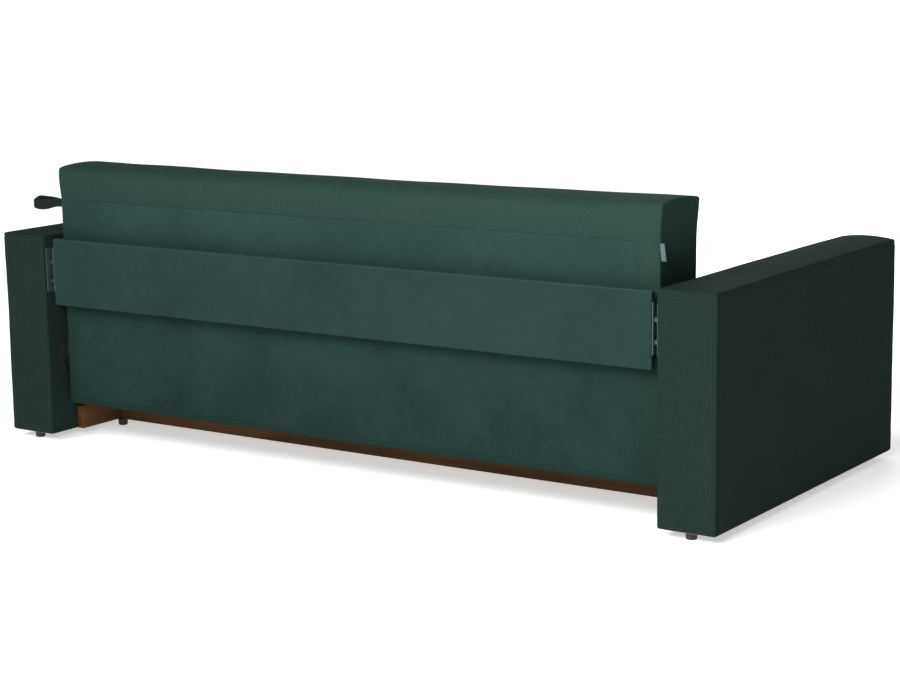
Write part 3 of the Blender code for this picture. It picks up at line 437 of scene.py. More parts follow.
def pad_out(item, away, pinned, crown, pressure=4.0, slack=0.0, frames=20):
    """Swell a cover under pressure and keep the result.

    away is each point's outward direction. crown is how far each point may move out, or in where
    it is negative. A point's travel out is crown (d / largest d), with d its simulated travel.
    """
    rest = np.empty(len(item.data.vertices) * 3)
    item.data.vertices.foreach_get("co", rest)
    rest = rest.reshape(-1, 3)
    started = time.time()
    group = item.vertex_groups.new(name="sewn")
    group.add(np.nonzero(pinned)[0].tolist(), 1.0, "REPLACE")
    cloth = item.modifiers.new("padding", "CLOTH")
    settings = cloth.settings
    settings.quality = 4
    settings.mass = 0.3
    settings.tension_stiffness = 12.0
    settings.compression_stiffness = 12.0
    settings.bending_stiffness = 0.6
    settings.vertex_group_mass = "sewn"
    settings.shrink_min = -slack
    settings.use_pressure = True
    settings.uniform_pressure_force = pressure
    settings.effector_weights.gravity = 0.0
    cloth.collision_settings.use_collision = False
    cloth.point_cache.frame_start = 1
    cloth.point_cache.frame_end = frames
    for step in range(1, frames + 1):
        bpy.context.scene.frame_set(step)
    result = np.empty_like(rest).ravel()
    item.evaluated_get(bpy.context.evaluated_depsgraph_get()).data.vertices.foreach_get("co", result)
    item.modifiers.clear()
    item.vertex_groups.clear()
    bpy.context.scene.frame_set(1)
    travel = result.reshape(-1, 3) - rest
    out = (travel * away).sum(1)
    sideways = travel - out[:, None] * away
    reach = max(np.percentile(np.abs(out), 99.5), 1e-6)
    swollen = np.clip(out / reach, -1.0, 1.0) * crown
    length = np.linalg.norm(sideways, axis=1, keepdims=True)
    sideways *= np.minimum(1.0, 0.0015 / np.maximum(length, 1e-9))
    SIM_SECONDS.append(time.time() - started)
    print(f"{item.name}: largest simulated travel {reach * 1000:.0f} mm, {SIM_SECONDS[-1]:.1f} s")
    return rest + swollen[:, None] * away + np.where(pinned[:, None], 0.0, sideways)


def reshape(item, points):
    item.data.vertices.foreach_set("co", np.ascontiguousarray(points).ravel())
    item.data.update()


def subdivide(item, levels=1):
    step = item.modifiers.new("subdivision", "SUBSURF")
    step.levels = step.render_levels = levels
    step.boundary_smooth = "PRESERVE_CORNERS"


def ripple(along, waves):
    """A sum of sines with wavelengths that never line up, from -1 to 1."""
    total = sum(np.sin(2 * math.pi * along / length + phase) for length, phase in waves)
    return total / len(waves)


PUCKER = ((0.041, 0.3), (0.067, 1.9), (0.103, 4.1), (0.029, 5.2))
DRIFT = ((0.31, 0.8), (0.53, 2.2), (0.87, 5.0))


def seam_groove(distance, depth, width=0.0022):
    """Inward depth of a sewn seam: depth * exp(-(distance / width)^2)."""
    return depth * np.exp(-(distance / width) ** 2)

# %% [markdown]
# The arms are boards under tight cloth, with a foam pad on top only. So the top crowns by a few
# millimetres and lifts across its width away from the rear end. The outer face and the two ends
# barely swell, and the inner face, where the pivot plates are screwed on, stays flat. A maker's
# seam runs down each vertical edge of both ends and round the outline of the outer face.

# %% Arm covers
def edge_distance(points, axis, value):
    return np.abs(points[:, axis] - value)


ARM_LIFT = 0.008        # how far the pad lifts the middle of an arm's top
ARM_SEAM_INSET = 0.0095  # from a seam to the edge beside it


def make_arm_cover(side_name, side):
    """Cover one arm; side is 1 for the left arm and -1 for the right.

    The top's lift is ARM_LIFT * sin(pi u)^0.7 with u from 0 to 1 across the arm.
    """
    low, high = limits(f"arm_cover_{side_name}")
    outer = high[0] if side > 0 else low[0]
    inset = ARM_SEAM_INSET
    seams = ((outer - side * inset,), (low[1] + inset, high[1] - inset), (high[2] - inset,))
    lines = [lattice_lines(low[axis], high[axis], 0.006, 0.017, seams[axis], soft=0.012)
             for axis in range(3)]
    points, quads, uvs, away = rounded_block(lines, 0.006)
    across = (points[:, 0] - low[0]) / (high[0] - low[0])
    forward = smooth(high[1] - points[:, 1], 0.0, 0.40)
    near_top = smooth(points[:, 2], high[2] - 0.03, high[2])
    points[:, 2] += ARM_LIFT * forward * near_top * np.sin(math.pi * across.clip(0, 1)) ** 0.7
    item = surface(f"arm_upholstery_{side_name}", points, quads, uvs, ARM_COVER)
    on_top, outside = smooth(away[:, 2], 0.3, 0.9), smooth(away[:, 0] * side, 0.3, 0.9)
    ends = smooth(np.abs(away[:, 1]), 0.3, 0.9)
    crown = 0.0075 * on_top + 0.0028 * outside + 0.0022 * ends
    pinned = (away[:, 0] * side < -0.5) | (away[:, 2] < -0.5) | (np.abs(away).max(1) < 0.985)
    padded = pad_out(item, away, pinned, crown, slack=0.004)
    top_seam = np.where(ends + outside > 0.5, edge_distance(points, 2, high[2] - inset), 1.0)
    end_seam = np.where(ends > 0.5, edge_distance(points, 0, outer - side * inset), 1.0)
    side_seam = np.where(outside > 0.5, np.minimum(edge_distance(points, 1, low[1] + inset),
                                                   edge_distance(points, 1, high[1] - inset)), 1.0)
    near = np.minimum(np.minimum(top_seam, end_seam), side_seam)
    along = points[:, 1] + points[:, 2] * 0.9 + points[:, 0] * 0.7
    gather = 0.0006 * ripple(along, PUCKER) * np.exp(-near / 0.020)
    drift = 0.0009 * ripple(points[:, 1] * 0.8 + points[:, 2], DRIFT) * (outside + ends + on_top)
    flat = np.where((away[:, 0] * side < -0.5) | (away[:, 2] < -0.5), 0.0, 1.0)
    reshape(item, padded + away * (flat * (gather + drift - seam_groove(near, 0.0016)))[:, None])
    subdivide(item)
    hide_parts(f"arm_cover_{side_name}")
    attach(item, "base")
    print(item.name, len(quads), "quads")
    return outer, inset, low, high


ARM_EDGES = {name: make_arm_cover(name, side) for name, side in (("left", 1), ("right", -1))}

# %% [markdown]
# The back is one long cushion on a timber frame. Its top and front are soft, so they crown, and
# their long upper edges are rolled, less so at the ends. The ends are flat gussets with an arched
# top edge and corners that stand out like ears; they pull in between their corners, and so does
# the front edge beside them. The rear face is cloth over timber: the cover turns on to it as a
# band below the top and a border at each end, and inside that border it steps down a little to
# the lining.

# %% Back cover
BACK_LOW, BACK_HIGH = limits("back_cover")
WINDOW_LOW, WINDOW_HIGH = limits("back_rear_lining")
REAR = BACK_HIGH[1]
FRONT = BACK_LOW[1]
ROLL = 0.032        # radius of the long upper edges in mid-span
END_ROLL = 0.006    # and where they meet the ends
FOOT_ROLL = 0.007   # radius of the long lower edges
LIFT = 0.010        # rise of the top in the middle of its depth
EAR = 0.005         # how far the upper corners stand out


def make_back_cover():
    """Cover the back cushion.

    The top rises by LIFT * sin(pi v)^0.6 with v from 0 to 1 from the rear face to the front. The
    front edge beside an end is pulled in by exp(-d / 55 mm), with d the distance to the end.
    """
    lines = [
        lattice_lines(BACK_LOW[0], BACK_HIGH[0], 0.005, 0.019, (WINDOW_LOW[0], WINDOW_HIGH[0]), 0.010),
        lattice_lines(BACK_LOW[1], BACK_HIGH[1], 0.005, 0.017, (), 0.028),
        lattice_lines(BACK_LOW[2], BACK_HIGH[2], 0.005, 0.018, (WINDOW_LOW[2], WINDOW_HIGH[2]), 0.028),
    ]
    points, quads, uvs, away = rounded_block(lines, 0.005)
    from_end = BACK_HIGH[0] - np.abs(points[:, 0])
    roll = END_ROLL + (ROLL - END_ROLL) * smooth(from_end, 0.0, 0.18)
    for y_face, y_in in ((FRONT, 1), (REAR, -1)):
        soften_edge(points, y_face, y_in, BACK_HIGH[2], -1, roll)
        soften_edge(points, y_face, y_in, BACK_LOW[2], 1, FOOT_ROLL)
    depth_share = ((REAR - points[:, 1]) / (REAR - FRONT)).clip(0, 1)
    near_top = smooth(points[:, 2], BACK_HIGH[2] - 0.06, BACK_HIGH[2])
    points[:, 2] += LIFT * near_top * np.sin(math.pi * depth_share) ** 0.6
    points[:, 0] += (np.sign(points[:, 0]) * EAR * (1 - smooth(from_end, 0.0, 0.10))
                     * smooth(points[:, 2], BACK_HIGH[2] - 0.09, BACK_HIGH[2]))
    item = surface("back_upholstery", points, quads, uvs, BACK_CLOTH)
    up, forward = smooth(away[:, 2], 0.3, 0.9), smooth(-away[:, 1], 0.3, 0.9)
    rear, gusset = smooth(away[:, 1], 0.3, 0.9), smooth(np.abs(away[:, 0]), 0.3, 0.9)
    edge = np.abs(away[:, 0])
    pinned = ((edge > 0.35) & (edge < 0.95)) | (away[:, 1] > 0.8) | (away[:, 2] < -0.8)
    crown = 0.0085 * up + 0.0095 * forward - 0.0010 * gusset
    padded = pad_out(item, away, pinned, crown)
    high_share = (points[:, 2] - BACK_LOW[2]) / (BACK_HIGH[2] - BACK_LOW[2])
    middle = np.sin(math.pi * np.clip(high_share, 0, 1)) ** 0.7
    pull_in = 0.0065 * middle * np.exp(-from_end / 0.055) * smooth(depth_share, 0.35, 1.0)
    padded[:, 1] += pull_in
    hollow = middle * np.sin(math.pi * depth_share)
    padded[:, 0] -= np.sign(points[:, 0]) * gusset * 0.0007 * hollow
    inside = (smooth(WINDOW_HIGH[0] + 0.001 - points[:, 0], 0.0, 0.0025)
              * smooth(points[:, 0] - WINDOW_LOW[0] + 0.001, 0.0, 0.0025)
              * smooth(WINDOW_HIGH[2] + 0.001 - points[:, 2], 0.0, 0.0025)
              * smooth(points[:, 2] - WINDOW_LOW[2] + 0.001, 0.0, 0.0025) * (rear > 0.5))
    seam_x = np.minimum(np.abs(points[:, 0] - WINDOW_LOW[0]), np.abs(points[:, 0] - WINDOW_HIGH[0]))
    seam_z = np.abs(points[:, 2] - WINDOW_HIGH[2])
    near = np.where(rear > 0.5, np.where(points[:, 2] > WINDOW_HIGH[2], seam_z,
                                         np.minimum(seam_x, seam_z)), 1.0)
    above = np.clip(points[:, 2] - WINDOW_HIGH[2], 0, None)
    slant = points[:, 0] + 0.55 * above
    gather = 0.0017 * ripple(slant, PUCKER) * np.exp(-near / 0.024) * (1 - inside)
    rumple = 0.0012 * ripple(points[:, 0] + 0.4 * points[:, 2], DRIFT) * (up + forward)
    band = 0.0022 * np.sin(math.pi * np.clip(above / (BACK_HIGH[2] - WINDOW_HIGH[2]), 0, 1)) * rear
    push = gather + rumple + band - 0.0024 * inside
    reshape(item, padded + away * push[:, None])
    subdivide(item)
    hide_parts("back_cover", "back_foam", "back_top_rail")
    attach(item, "back")
    print(item.name, len(quads), "quads")


make_back_cover()

# %% [markdown]
# The lining is a flat sheet stretched over the frame inside the border and sewn to it. It is a
# grid whose edge is turned down into the seam. Between the seams it lies within a millimetre of
# flat, with long faint waves where it was pulled unevenly.

# %% Lining of the back
def turned_edge(distance, drop):
    """How far a sheet dips at its edge: drop * (1 - s) with s smooth over the last 6 mm."""
    return drop * (1 - smooth(distance, 0.0, 0.006))


def grid_quads(rows, columns, closed=False):
    """Quads of a grid of points stored row by row; closed joins the last column to the first."""
    i, j = np.meshgrid(np.arange(rows - 1), np.arange(columns if closed else columns - 1), indexing="ij")
    k = (j + 1) % columns
    return np.stack([i * columns + j, i * columns + k, (i + 1) * columns + k, (i + 1) * columns + j],
                    axis=-1).reshape(-1, 4)


def make_lining():
    low, high = WINDOW_LOW, WINDOW_HIGH
    xs = np.unique(np.concatenate([np.linspace(low[0], high[0], 110), low[0] + np.arange(1, 7) * 0.0015,
                                   high[0] - np.arange(1, 7) * 0.0015]))
    zs = np.unique(np.concatenate([np.linspace(low[2], high[2], 36), low[2] + np.arange(1, 7) * 0.0015,
                                   high[2] - np.arange(1, 7) * 0.0015]))
    x, z = np.meshgrid(xs, zs, indexing="xy")
    edge = np.minimum(np.minimum(x - low[0], high[0] - x), np.minimum(z - low[2], high[2] - z))
    wave = 0.0005 * ripple(x * 0.8 + z * 1.7, DRIFT)
    wave += 0.0003 * ripple(x - 0.3 * z, ((0.12, 0.0), (0.19, 2.0)))
    top_pull = 0.0007 * ripple(x + 0.4 * z, PUCKER) * np.exp(-(high[2] - z) / 0.020)
    held = smooth(edge, 0.0, 0.012)
    y = REAR - 0.0008 + (wave + top_pull) * held - turned_edge(edge, 0.0008)
    points = np.stack([x, y, z], axis=-1).reshape(-1, 3)
    quads = grid_quads(len(zs), len(xs))[:, ::-1]
    uv = np.stack([x, z], axis=-1).reshape(-1, 2)[quads.ravel()]
    item = surface("back_rear_panel", points, quads, uv, LINING)
    wall = item.modifiers.new("cloth thickness", "SOLIDIFY")
    wall.thickness = 0.0010
    wall.offset = -1.0
    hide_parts("back_rear_lining")
    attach(item, "back")
    print(item.name, len(quads), "quads")


make_lining()

# %% [markdown]
# The seat is a deep foam cushion on a deck. Its rear is hollowed to the arc that the back swings
# through: at height z it lies where a circle about the pivot does. Its top crowns towards the
# middle and its front rolls over.

# %% Seat cover
def frame_joint(name):
    """Y and Z of a joint's axis at rest."""
    joint = next(joint for joint in frame["joints"] if joint["name"] == name)
    return joint["pos_m"][1], joint["pos_m"][2]


def make_seat_cover():
    low, high = limits("seat_cover")
    lines = [lattice_lines(low[0], high[0], 0.005, 0.019, (low[0] + 0.008, high[0] - 0.008), 0.012),
             lattice_lines(low[1], high[1], 0.005, 0.018, (), 0.028),
             lattice_lines(low[2], high[2], 0.005, 0.016, (), 0.028)]
    points, quads, uvs, away = rounded_block(lines, 0.005)
    soften_edge(points, low[1], 1, high[2], -1, 0.022)
    pivot_y, pivot_z = frame_joint("seat_pull")
    radius = pivot_y - limits("seat_rear_rail")[1][1]
    arc = pivot_y - np.sqrt(np.clip(radius ** 2 - (points[:, 2] - pivot_z) ** 2, 1e-6, None))
    share = 1 - smooth(high[1] - points[:, 1], 0.0, 0.16)
    shift = np.minimum(arc - high[1], 0.0) * share
    points[:, 1] += shift
    item = surface("seat_upholstery", points, quads, uvs, COVER)
    up, front = smooth(away[:, 2], 0.3, 0.9), smooth(-away[:, 1], 0.3, 0.9)
    edge = np.abs(away[:, 0])
    pinned = ((edge > 0.35) & (edge < 0.95)) | (away[:, 1] > 0.8) | (away[:, 2] < -0.8)
    crown = 0.0100 * up + 0.0060 * front
    padded = pad_out(item, away, pinned, crown)
    rim = np.where(up > 0.5, np.abs(np.abs(points[:, 0]) - (high[0] - 0.008)), 1.0)
    gather = 0.0009 * ripple(points[:, 1], PUCKER) * np.exp(-rim / 0.020) * up
    rumple = 0.0013 * ripple(points[:, 0] + 0.5 * points[:, 1], DRIFT) * (up + front)
    reshape(item, padded + away * (gather + rumple - seam_groove(rim, 0.0014))[:, None])
    subdivide(item)
    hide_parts("seat_cover", "seat_foam")
    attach(item, "seat")
    print(item.name, len(quads), "quads, rear radius", round(radius, 4))


make_seat_cover()


# %% [markdown]
# A board cover is tight cloth over a thin board. Its faces puff by about a millimetre and carry
# short puckers along the edges, where the cloth was pulled round and stapled. A shorter
# simulation is enough for it.

# %% Board covers
def make_board_cover(name, node, material, body, radius, swell):
    low, high = limits(node)
    lines = [lattice_lines(low[axis], high[axis], radius, step, (), 0.0)
             for axis, step in ((0, 0.020), (1, 0.006), (2, 0.014))]
    points, quads, uvs, away = rounded_block(lines, radius)
    item = surface(name, points, quads, uvs, material)
    face = smooth(np.abs(away[:, 1]), 0.3, 0.95)
    pinned = face < 0.5
    padded = pad_out(item, away, pinned, swell * face, frames=10)
    from_edge = np.minimum(np.minimum(points[:, 0] - low[0], high[0] - points[:, 0]),
                           np.minimum(points[:, 2] - low[2], high[2] - points[:, 2]))
    pulled = 0.0004 * ripple(points[:, 0] + points[:, 2], PUCKER) * np.exp(-from_edge / 0.015)
    broad = 0.0005 * ripple(points[:, 0] + 1.3 * points[:, 2], DRIFT)
    reshape(item, padded + away * (face * (pulled + broad) * smooth(from_edge, 0.0, 0.004))[:, None])
    subdivide(item)
    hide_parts(node)
    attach(item, body)
    print(item.name, len(quads), "quads")


make_board_cover("rear_board_upholstery", "rear_board_cover", BOARD_CLOTH, "base",
                 0.003, 0.0006)
make_board_cover("front_panel_upholstery", "front_panel_cover", COVER, "seat",
                 0.003, 0.0012)
print("simulation", round(sum(SIM_SECONDS)), "s in all")

# %% [markdown]
# A tube or a dome made as a grid has open ends, and its faces may look inwards. One small helper
# closes it and turns it out.

# %% Closing a piece
def close_up(item):
    """Fill a piece's open ends and turn its faces outwards."""
    shape = bmesh.new()
    shape.from_mesh(item.data)
    bmesh.ops.holes_fill(shape, edges=[edge for edge in shape.edges if edge.is_boundary], sides=0)
    bmesh.ops.recalc_face_normals(shape, faces=shape.faces)
    shape.to_mesh(item.data)
    shape.free()

# %% [markdown]
# Stitches hold the seams. Each is a short bead of thread: a tube whose radius is
# r sqrt(1 - t^6) along its length, and it leans into the cloth at both ends. A row is one bead's
# arrays repeated along a line with numpy, so hundreds of stitches are a single small mesh.

# %% Rows of stitches
def bead(length, radius, rings=6, sides=6):
    """Points (rings, sides, 3) of one stitch along local x, dipping by its own radius at the ends."""
    t = np.linspace(-1, 1, rings)[:, None]
    turn = np.linspace(0, 2 * math.pi, sides, endpoint=False)[None, :]
    size = radius * np.sqrt(np.clip(1 - t ** 6, 0.0, 1.0)) + 0.15 * radius
    return np.stack([np.broadcast_to(t * length / 2, (rings, sides)), size * np.cos(turn),
                     size * np.sin(turn) - 1.4 * radius * t ** 4], axis=-1)


def stitch_row(name, runs, body, pitch=0.0065, length=0.0046, radius=0.00042):
    """Stitches along straight runs, each (start, end, outward direction)."""
    shape = bead(length, radius)
    rings, sides, _ = shape.shape
    side_quads = grid_quads(rings, sides, closed=True)
    caps = np.array([[0, 3, 2, 1], [0, 5, 4, 3]])
    caps = np.concatenate([caps, (rings - 1) * sides + caps[:, ::-1]])
    cell = np.concatenate([side_quads, caps])
    points, quads = [], []
    for start, end, outward in runs:
        start, end, outward = (np.array(value, float) for value in (start, end, outward))
        span = np.linalg.norm(end - start)
        along = (end - start) / span
        across = np.cross(outward, along)
        count = int(span / pitch)
        centres = start + along * ((np.arange(count)[:, None] + 0.5) * span / count)
        turned = shape.reshape(-1, 3) @ np.stack([along, across, outward])
        offset = sum(len(part) for part in points)
        points.append((centres[:, None, :] + turned[None]).reshape(-1, 3))
        quads.append((np.arange(count)[:, None, None] * len(turned) + cell[None]).reshape(-1, 4) + offset)
    points, quads = np.concatenate(points), np.concatenate(quads)
    item = surface(name, points, quads, np.zeros((quads.size, 2)), THREAD)
    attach(item, body)
    print(name, len(points) // (rings * sides), "stitches")
    return item


def arm_seam_runs():
    """Seam lines of both arms: down the ends' outer edges and round the outer face."""
    runs = []
    for outer, inset, low, high in ARM_EDGES.values():
        side = math.copysign(1.0, outer)
        x, z_top, z_low = outer - side * (inset + 0.0035), high[2] - inset - 0.0035, low[2] + 0.012
        for y, out in ((high[1] + 0.0012, 1), (low[1] - 0.0012, -1)):
            runs.append(((x, y, z_low), (x, y, z_top), (0, out, 0)))
    return runs


def back_seam_runs():
    """Seam lines of the back's rear face, just outside the lining."""
    y = REAR + 0.0011
    top, low = WINDOW_HIGH[2] + 0.0045, WINDOW_LOW[2] + 0.004
    ends = WINDOW_LOW[0] - 0.0045, WINDOW_HIGH[0] + 0.0045
    return [((ends[0], y, top), (ends[1], y, top), (0, 1, 0))] + [
        ((x, y, low), (x, y, top - 0.006), (0, 1, 0)) for x in ends]


stitch_row("arm_stitches", arm_seam_runs(), "base")
stitch_row("back_stitches", back_seam_runs(), "back")

# %% [markdown]
# The pull is one length of webbing folded into a loop and sewn into the end seam. Seen from
# above it is a leaf: its half width grows as the square of a sine and closes in a half circle.
# A flat ribbon section is carried round that path; it is narrower at the root, where the
# stitching gathers it, and its free end droops with the square of the distance.

# %% Pull strap
def ribbon_along(name, path, normal, width, thickness, material, droop, closed):
    """Carry a flat section round a path in plan.

    path (n, 2) and normal (n, 2) are X and Y. The section is a superellipse of four corners:
    |a / t|^p + |b / w|^p = 1 with p = 6, so its edges are rounded like a selvedge.
    """
    turn = np.linspace(0, 2 * math.pi, 20, endpoint=False)
    power = 1.0 / 3.0
    a = np.sign(np.cos(turn)) * np.abs(np.cos(turn)) ** power * thickness / 2
    b = np.sign(np.sin(turn)) * np.abs(np.sin(turn)) ** power * 0.5
    high = b[None, :] * width[:, None] + droop[:, None]
    plan = path[:, None, :] + normal[:, None, :] * a[None, :, None]
    points = np.concatenate([plan, high[..., None]], axis=-1)
    rows, columns = points.shape[:2]
    quads = grid_quads(rows, columns, closed=True)
    if closed:
        last = grid_quads(2, columns, closed=True)
        last = np.where(last >= columns, last - columns, last + (rows - 1) * columns)
        quads = np.concatenate([quads, last])
    else:
        fan = np.arange(1, columns // 2)
        cap = np.stack([fan - 1, fan, columns - 1 - fan, columns - fan], axis=1) % columns
        quads = np.concatenate([quads, cap, (cap + (rows - 1) * columns)[:, ::-1]])
    step = np.r_[0, np.cumsum(np.linalg.norm(np.diff(path, axis=0), axis=1))]
    uv = np.stack([np.broadcast_to(step[:, None], high.shape), high - high.min()], axis=-1)
    item = surface(name, points.reshape(-1, 3), quads, uv.reshape(-1, 2)[quads.ravel()], material)
    close_up(item)
    return item


def make_strap():
    low, high = limits("pull_strap")
    thickness = 0.0022
    length, full = high[0] - low[0], (high[1] - low[1]) / 2
    y_mid, z_mid = (low[1] + high[1]) / 2, (low[2] + high[2]) / 2
    reach = length - full
    rise = np.linspace(0, 1, 26)
    half = (full - thickness / 2) * (0.16 + 0.84 * np.sin(0.5 * math.pi * rise) ** 2)
    arc = np.linspace(0, math.pi, 19)[1:-1]
    tip = full - thickness / 2
    x = np.concatenate([rise * reach, reach + tip * np.sin(arc), rise[::-1] * reach])
    y = np.concatenate([half, tip * np.cos(arc), -half[::-1]])
    path = np.stack([low[0] + x, y_mid + y * 0.92], axis=-1)
    tangent = np.gradient(path, axis=0)
    normal = np.stack([-tangent[:, 1], tangent[:, 0]], axis=-1)
    normal /= np.linalg.norm(normal, axis=1, keepdims=True)
    share = x / length
    tip_round = np.sqrt(np.clip(1 - (np.clip(share - 0.72, 0, None) / 0.30) ** 2, 0.0, 1.0))
    open_up = smooth(share, 0.0, 0.4)
    widening = 0.60 + 0.40 * smooth(share, 0.0, 0.55)
    width = (high[2] - low[2]) * widening * (0.25 + 0.75 * tip_round) * (1 - 0.22 * open_up)
    droop = z_mid - 0.003 * share ** 2 + 0.0015 * np.sin(2.4 * math.pi * share) - 0.5 * y * open_up
    item = ribbon_along("pull_loop", path, normal, width, thickness, WEBBING, droop, closed=True)
    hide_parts("pull_strap")
    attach(item, "back")
    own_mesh(item)
    print(item.name, "reach", round(length * 1000), "mm")


make_strap()

# %% [markdown]
# The label is a folded scrap of satin ribbon caught in the rear seam of the other end. It leans
# away from the seam in a gentle S. A loose end of thread hangs out of the seam above it.

# %% Label and loose thread
def make_label():
    low, high = limits("side_label")
    reach = high[0] - low[0]
    t = np.linspace(0, 1, 14)
    sway = 0.0016 * np.sin(math.pi * t) - 0.0010 * t
    out = np.stack([high[0] - reach * t, np.full(14, (low[1] + high[1]) / 2) + sway + 0.0006], axis=-1)
    back = np.stack([out[::-1, 0], out[::-1, 1] - 0.0011], axis=-1)
    path = np.concatenate([out, back])
    tangent = np.gradient(path, axis=0)
    normal = np.stack([-tangent[:, 1], tangent[:, 0]], axis=-1)
    normal /= np.maximum(np.linalg.norm(normal, axis=1, keepdims=True), 1e-9)
    tall = high[2] - low[2]
    item = ribbon_along("side_flag_label", path, normal, np.full(len(path), tall), 0.0007, RIBBON,
                        np.full(len(path), (low[2] + high[2]) / 2), closed=False)
    for vertex in item.data.vertices:
        vertex.co.x -= 0.13 * (high[2] - vertex.co.z) - 0.003
    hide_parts("side_label")
    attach(item, "back")
    return high


def tube(name, path, radius, material, body, sides=7):
    """A round thread along a path: circles of this radius square to the path, closed at both ends."""
    tangent = np.gradient(path, axis=0)
    tangent /= np.linalg.norm(tangent, axis=1, keepdims=True)
    side = np.cross(tangent, [0.31, 0.77, 0.55])
    side /= np.linalg.norm(side, axis=1, keepdims=True)
    other = np.cross(tangent, side)
    turn = np.linspace(0, 2 * math.pi, sides, endpoint=False)
    taper = np.sqrt(np.clip(1 - np.linspace(-1, 1, len(path)) ** 12, 0.02, 1))[:, None, None]
    points = path[:, None] + taper * radius * (np.cos(turn)[None, :, None] * side[:, None]
                                               + np.sin(turn)[None, :, None] * other[:, None])
    quads = grid_quads(len(path), sides, closed=True)
    item = surface(name, points.reshape(-1, 3), quads, np.zeros((quads.size, 2)), material)
    close_up(item)
    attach(item, body)
    return item


label_high = make_label()
t = np.linspace(0, 1, 24)
tube("loose_thread", np.stack([label_high[0] - 0.0035 * np.sin(2.2 * t) - 0.001,
                               REAR + 0.0006 + 0.003 * np.sin(math.pi * t),
                               label_high[2] + 0.016 - 0.014 * t], axis=-1),
     0.00035, DARK_THREAD, "back")
print("label and thread made")

# %% [markdown]
# Screws are lathe work: a profile of radius against height turned about an axis. The head is a
# shallow dome h sqrt(1 - r^2 / R^2) with a cross-shaped recess, pressed in by lowering the points
# of the grid that lie within half a slot's width of either arm of the cross.

# %% Screw heads
def screw_heads(name, places, body, radius=0.0042, height=0.0016):
    """Domed heads with a cross recess at (x, y, z, outward X sign)."""
    rings, spokes = 16, 32
    r = np.linspace(0.0001, 1.0, rings)[:, None] * radius
    turn = np.linspace(0, 2 * math.pi, spokes, endpoint=False)[None, :]
    u, v = r * np.cos(turn), r * np.sin(turn)
    dome = height * (0.35 + 0.65 * np.sqrt(np.clip(1 - (r / radius) ** 2, 0, 1))) + 0 * turn
    cross = (np.minimum(np.abs(u), np.abs(v)) < 0.00062) & (np.hypot(u, v) < 0.0023)
    dome = np.where(cross, dome - 0.0009, dome)
    u = np.concatenate([u, u[-1:]])
    v = np.concatenate([v, v[-1:]])
    dome = np.concatenate([dome, np.zeros((1, spokes))])
    quads = grid_quads(rings + 1, spokes, closed=True)
    points, faces = [], []
    for x, y, z, out in places:
        head = np.stack([x + out * dome, y + u * out, z + v], axis=-1).reshape(-1, 3)
        faces.append(quads + sum(len(part) for part in points))
        points.append(head)
    item = surface(name, np.concatenate(points), np.concatenate(faces),
                   np.zeros((sum(len(part) for part in faces) * 4, 2)), ZINC)
    close_up(item)
    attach(item, body)
    print(name, len(places))


socket_places = []
bracket_places = []
for side_name, side in (("left", 1), ("right", -1)):
    low, high = limits(f"socket_plate_{side_name}")
    face = low[0] if side > 0 else high[0]
    for z in (low[2] + 0.009, high[2] - 0.009):
        socket_places.append((face, low[1] + 0.006, z, -side))
    low, high = limits(f"seat_bracket_{side_name}")
    face = high[0] if side > 0 else low[0]
    for share in (0.10, 0.26):
        y = low[1] + share * (high[1] - low[1])
        bracket_places += [(face, y, low[2] + 0.020, side), (face, y, high[2] - 0.018, side)]
screw_heads("socket_screws", socket_places, "base")
screw_heads("bracket_screws", bracket_places, "seat", radius=0.005, height=0.0013)

# %% [markdown]
# The set is a pale round floor with a white wall far off, as for a catalogue. The wall only closes
# the view: it neither lights the sofa nor casts a shadow.

# %% Floor and wall
STUDIO = 28.0


def white_look(name, glow):
    look = Look(name, 0.9, **{"Emission Color": (1.0, 1.0, 1.0), "Emission Strength": glow})
    tone = look.noise(look.place(), 0.6)
    look.wear(Base_Color=look.colour_mix(tone, (0.86, 0.86, 0.86), (0.90, 0.90, 0.90)))
    return look.material


def make_studio():
    """A round floor and the wall round it.

    A point of either has a run along the profile and an angle: x = r cos, y = r sin, with r
    rising to the studio's radius on the floor and the height rising on the wall.
    """
    turn = np.linspace(0, 2 * math.pi, 64, endpoint=False)
    for name, radius, height, glow in (
            ("studio_floor", np.linspace(0.5, STUDIO, 40), np.zeros(40), 0.52),
            ("studio_wall", np.full(12, STUDIO), np.linspace(0, 20, 12), 1.0)):
        points = np.stack(np.broadcast_arrays(radius[:, None] * np.cos(turn), radius[:, None] * np.sin(turn),
                                              height[:, None]), axis=-1).reshape(-1, 3)
        quads = grid_quads(len(radius), len(turn), closed=True)
        faces = quads.tolist() + ([list(range(len(turn)))[::-1]] if name == "studio_floor" else [])
        mesh = bpy.data.meshes.new(name)
        mesh.from_pydata(points.tolist(), [], faces)
        mesh.materials.append(white_look(name, glow))
        item = bpy.data.objects.new(name, mesh)
        bpy.context.scene.collection.objects.link(item)
        if name == "studio_wall":
            item.visible_diffuse = item.visible_glossy = item.visible_shadow = False


make_studio()


# %% [markdown]
# The key is a broad sun from high behind the sofa. A softbox near its right end makes the rear
# face fall off gently towards the left, and a weak one lights the front.

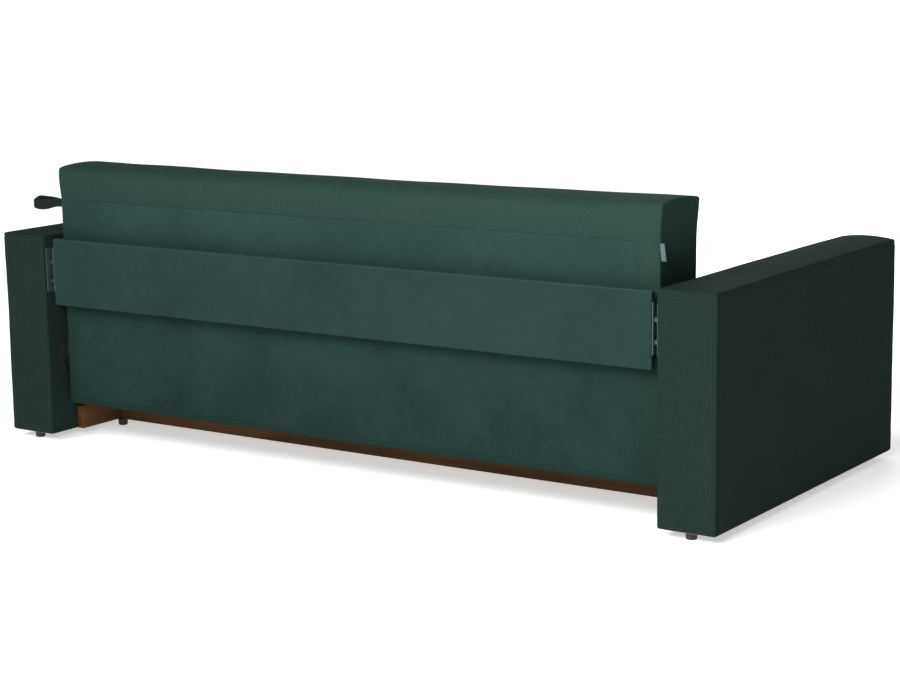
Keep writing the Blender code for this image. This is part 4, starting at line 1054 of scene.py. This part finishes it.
# %% Lights
def softbox(name, place, target, size, watts):
    data = bpy.data.lights.new(name, "AREA")
    data.shape = "RECTANGLE"
    data.size, data.size_y = size
    data.energy = watts
    item = bpy.data.objects.new(name, data)
    item.location = place
    item.rotation_euler = (Vector(target) - Vector(place)).to_track_quat("-Z", "Y").to_euler()
    item.visible_camera = False
    bpy.context.scene.collection.objects.link(item)


softbox("front_fill", (1.6, -4.8, 2.6), (0.2, 0.0, 0.3), (3.0, 2.0), 115.0)
softbox("rear_fill", (-1.3, 3.3, 1.95), (-0.8, 0.5, 0.4), (1.6, 1.2), 92.0)
sun = bpy.data.lights.new("key", "SUN")
sun.energy = 2.2
sun.angle = math.radians(32)
key = bpy.data.objects.new("key", sun)
key.rotation_euler = Vector((-0.28, -0.66, -0.70)).to_track_quat("-Z", "Y").to_euler()
bpy.context.scene.collection.objects.link(key)
world = bpy.data.worlds.new("studio")
world.use_nodes = True
world.node_tree.nodes["Background"].inputs["Color"].default_value = (1.0, 1.0, 1.0, 1.0)
world.node_tree.nodes["Background"].inputs["Strength"].default_value = 0.14
bpy.context.scene.world = world
bpy.context.scene.view_settings.view_transform = "Standard"


# %% [markdown]
# The camera stands behind the sofa's right end, a little above it, with a long lens and a slight
# tilt. Its three axes are worked out from the heading, the tilt and the roll.

# %% Camera
def make_camera():
    """A camera from its place, heading, tilt and roll, with a long lens."""
    heading, tilt, roll = 0.5998, 0.1859, -0.0154
    forward = Vector((math.sin(heading) * math.cos(tilt), -math.cos(heading) * math.cos(tilt),
                      -math.sin(tilt)))
    level = Vector((-math.cos(heading), -math.sin(heading), 0.0))
    upright = level.cross(forward)
    right = math.cos(roll) * level + math.sin(roll) * upright
    up = math.cos(roll) * upright - math.sin(roll) * level
    data = bpy.data.cameras.new("camera")
    data.lens = 86.0
    data.sensor_width = 36.0
    data.clip_end = 100.0
    item = bpy.data.objects.new("camera", data)
    item.matrix_world = Matrix((
        (right.x, up.x, -forward.x, -3.38835), (right.y, up.y, -forward.y, 4.8822),
        (right.z, up.z, -forward.z, 1.39316), (0, 0, 0, 1)))
    bpy.context.scene.collection.objects.link(item)
    bpy.context.scene.camera = item


make_camera()

# %% [markdown]
# Last, a helper turns a box's corners into plain lists of numbers.

# %% A helper for boxes
def plain(box):
    return [[float(value) for value in corner] for corner in box]
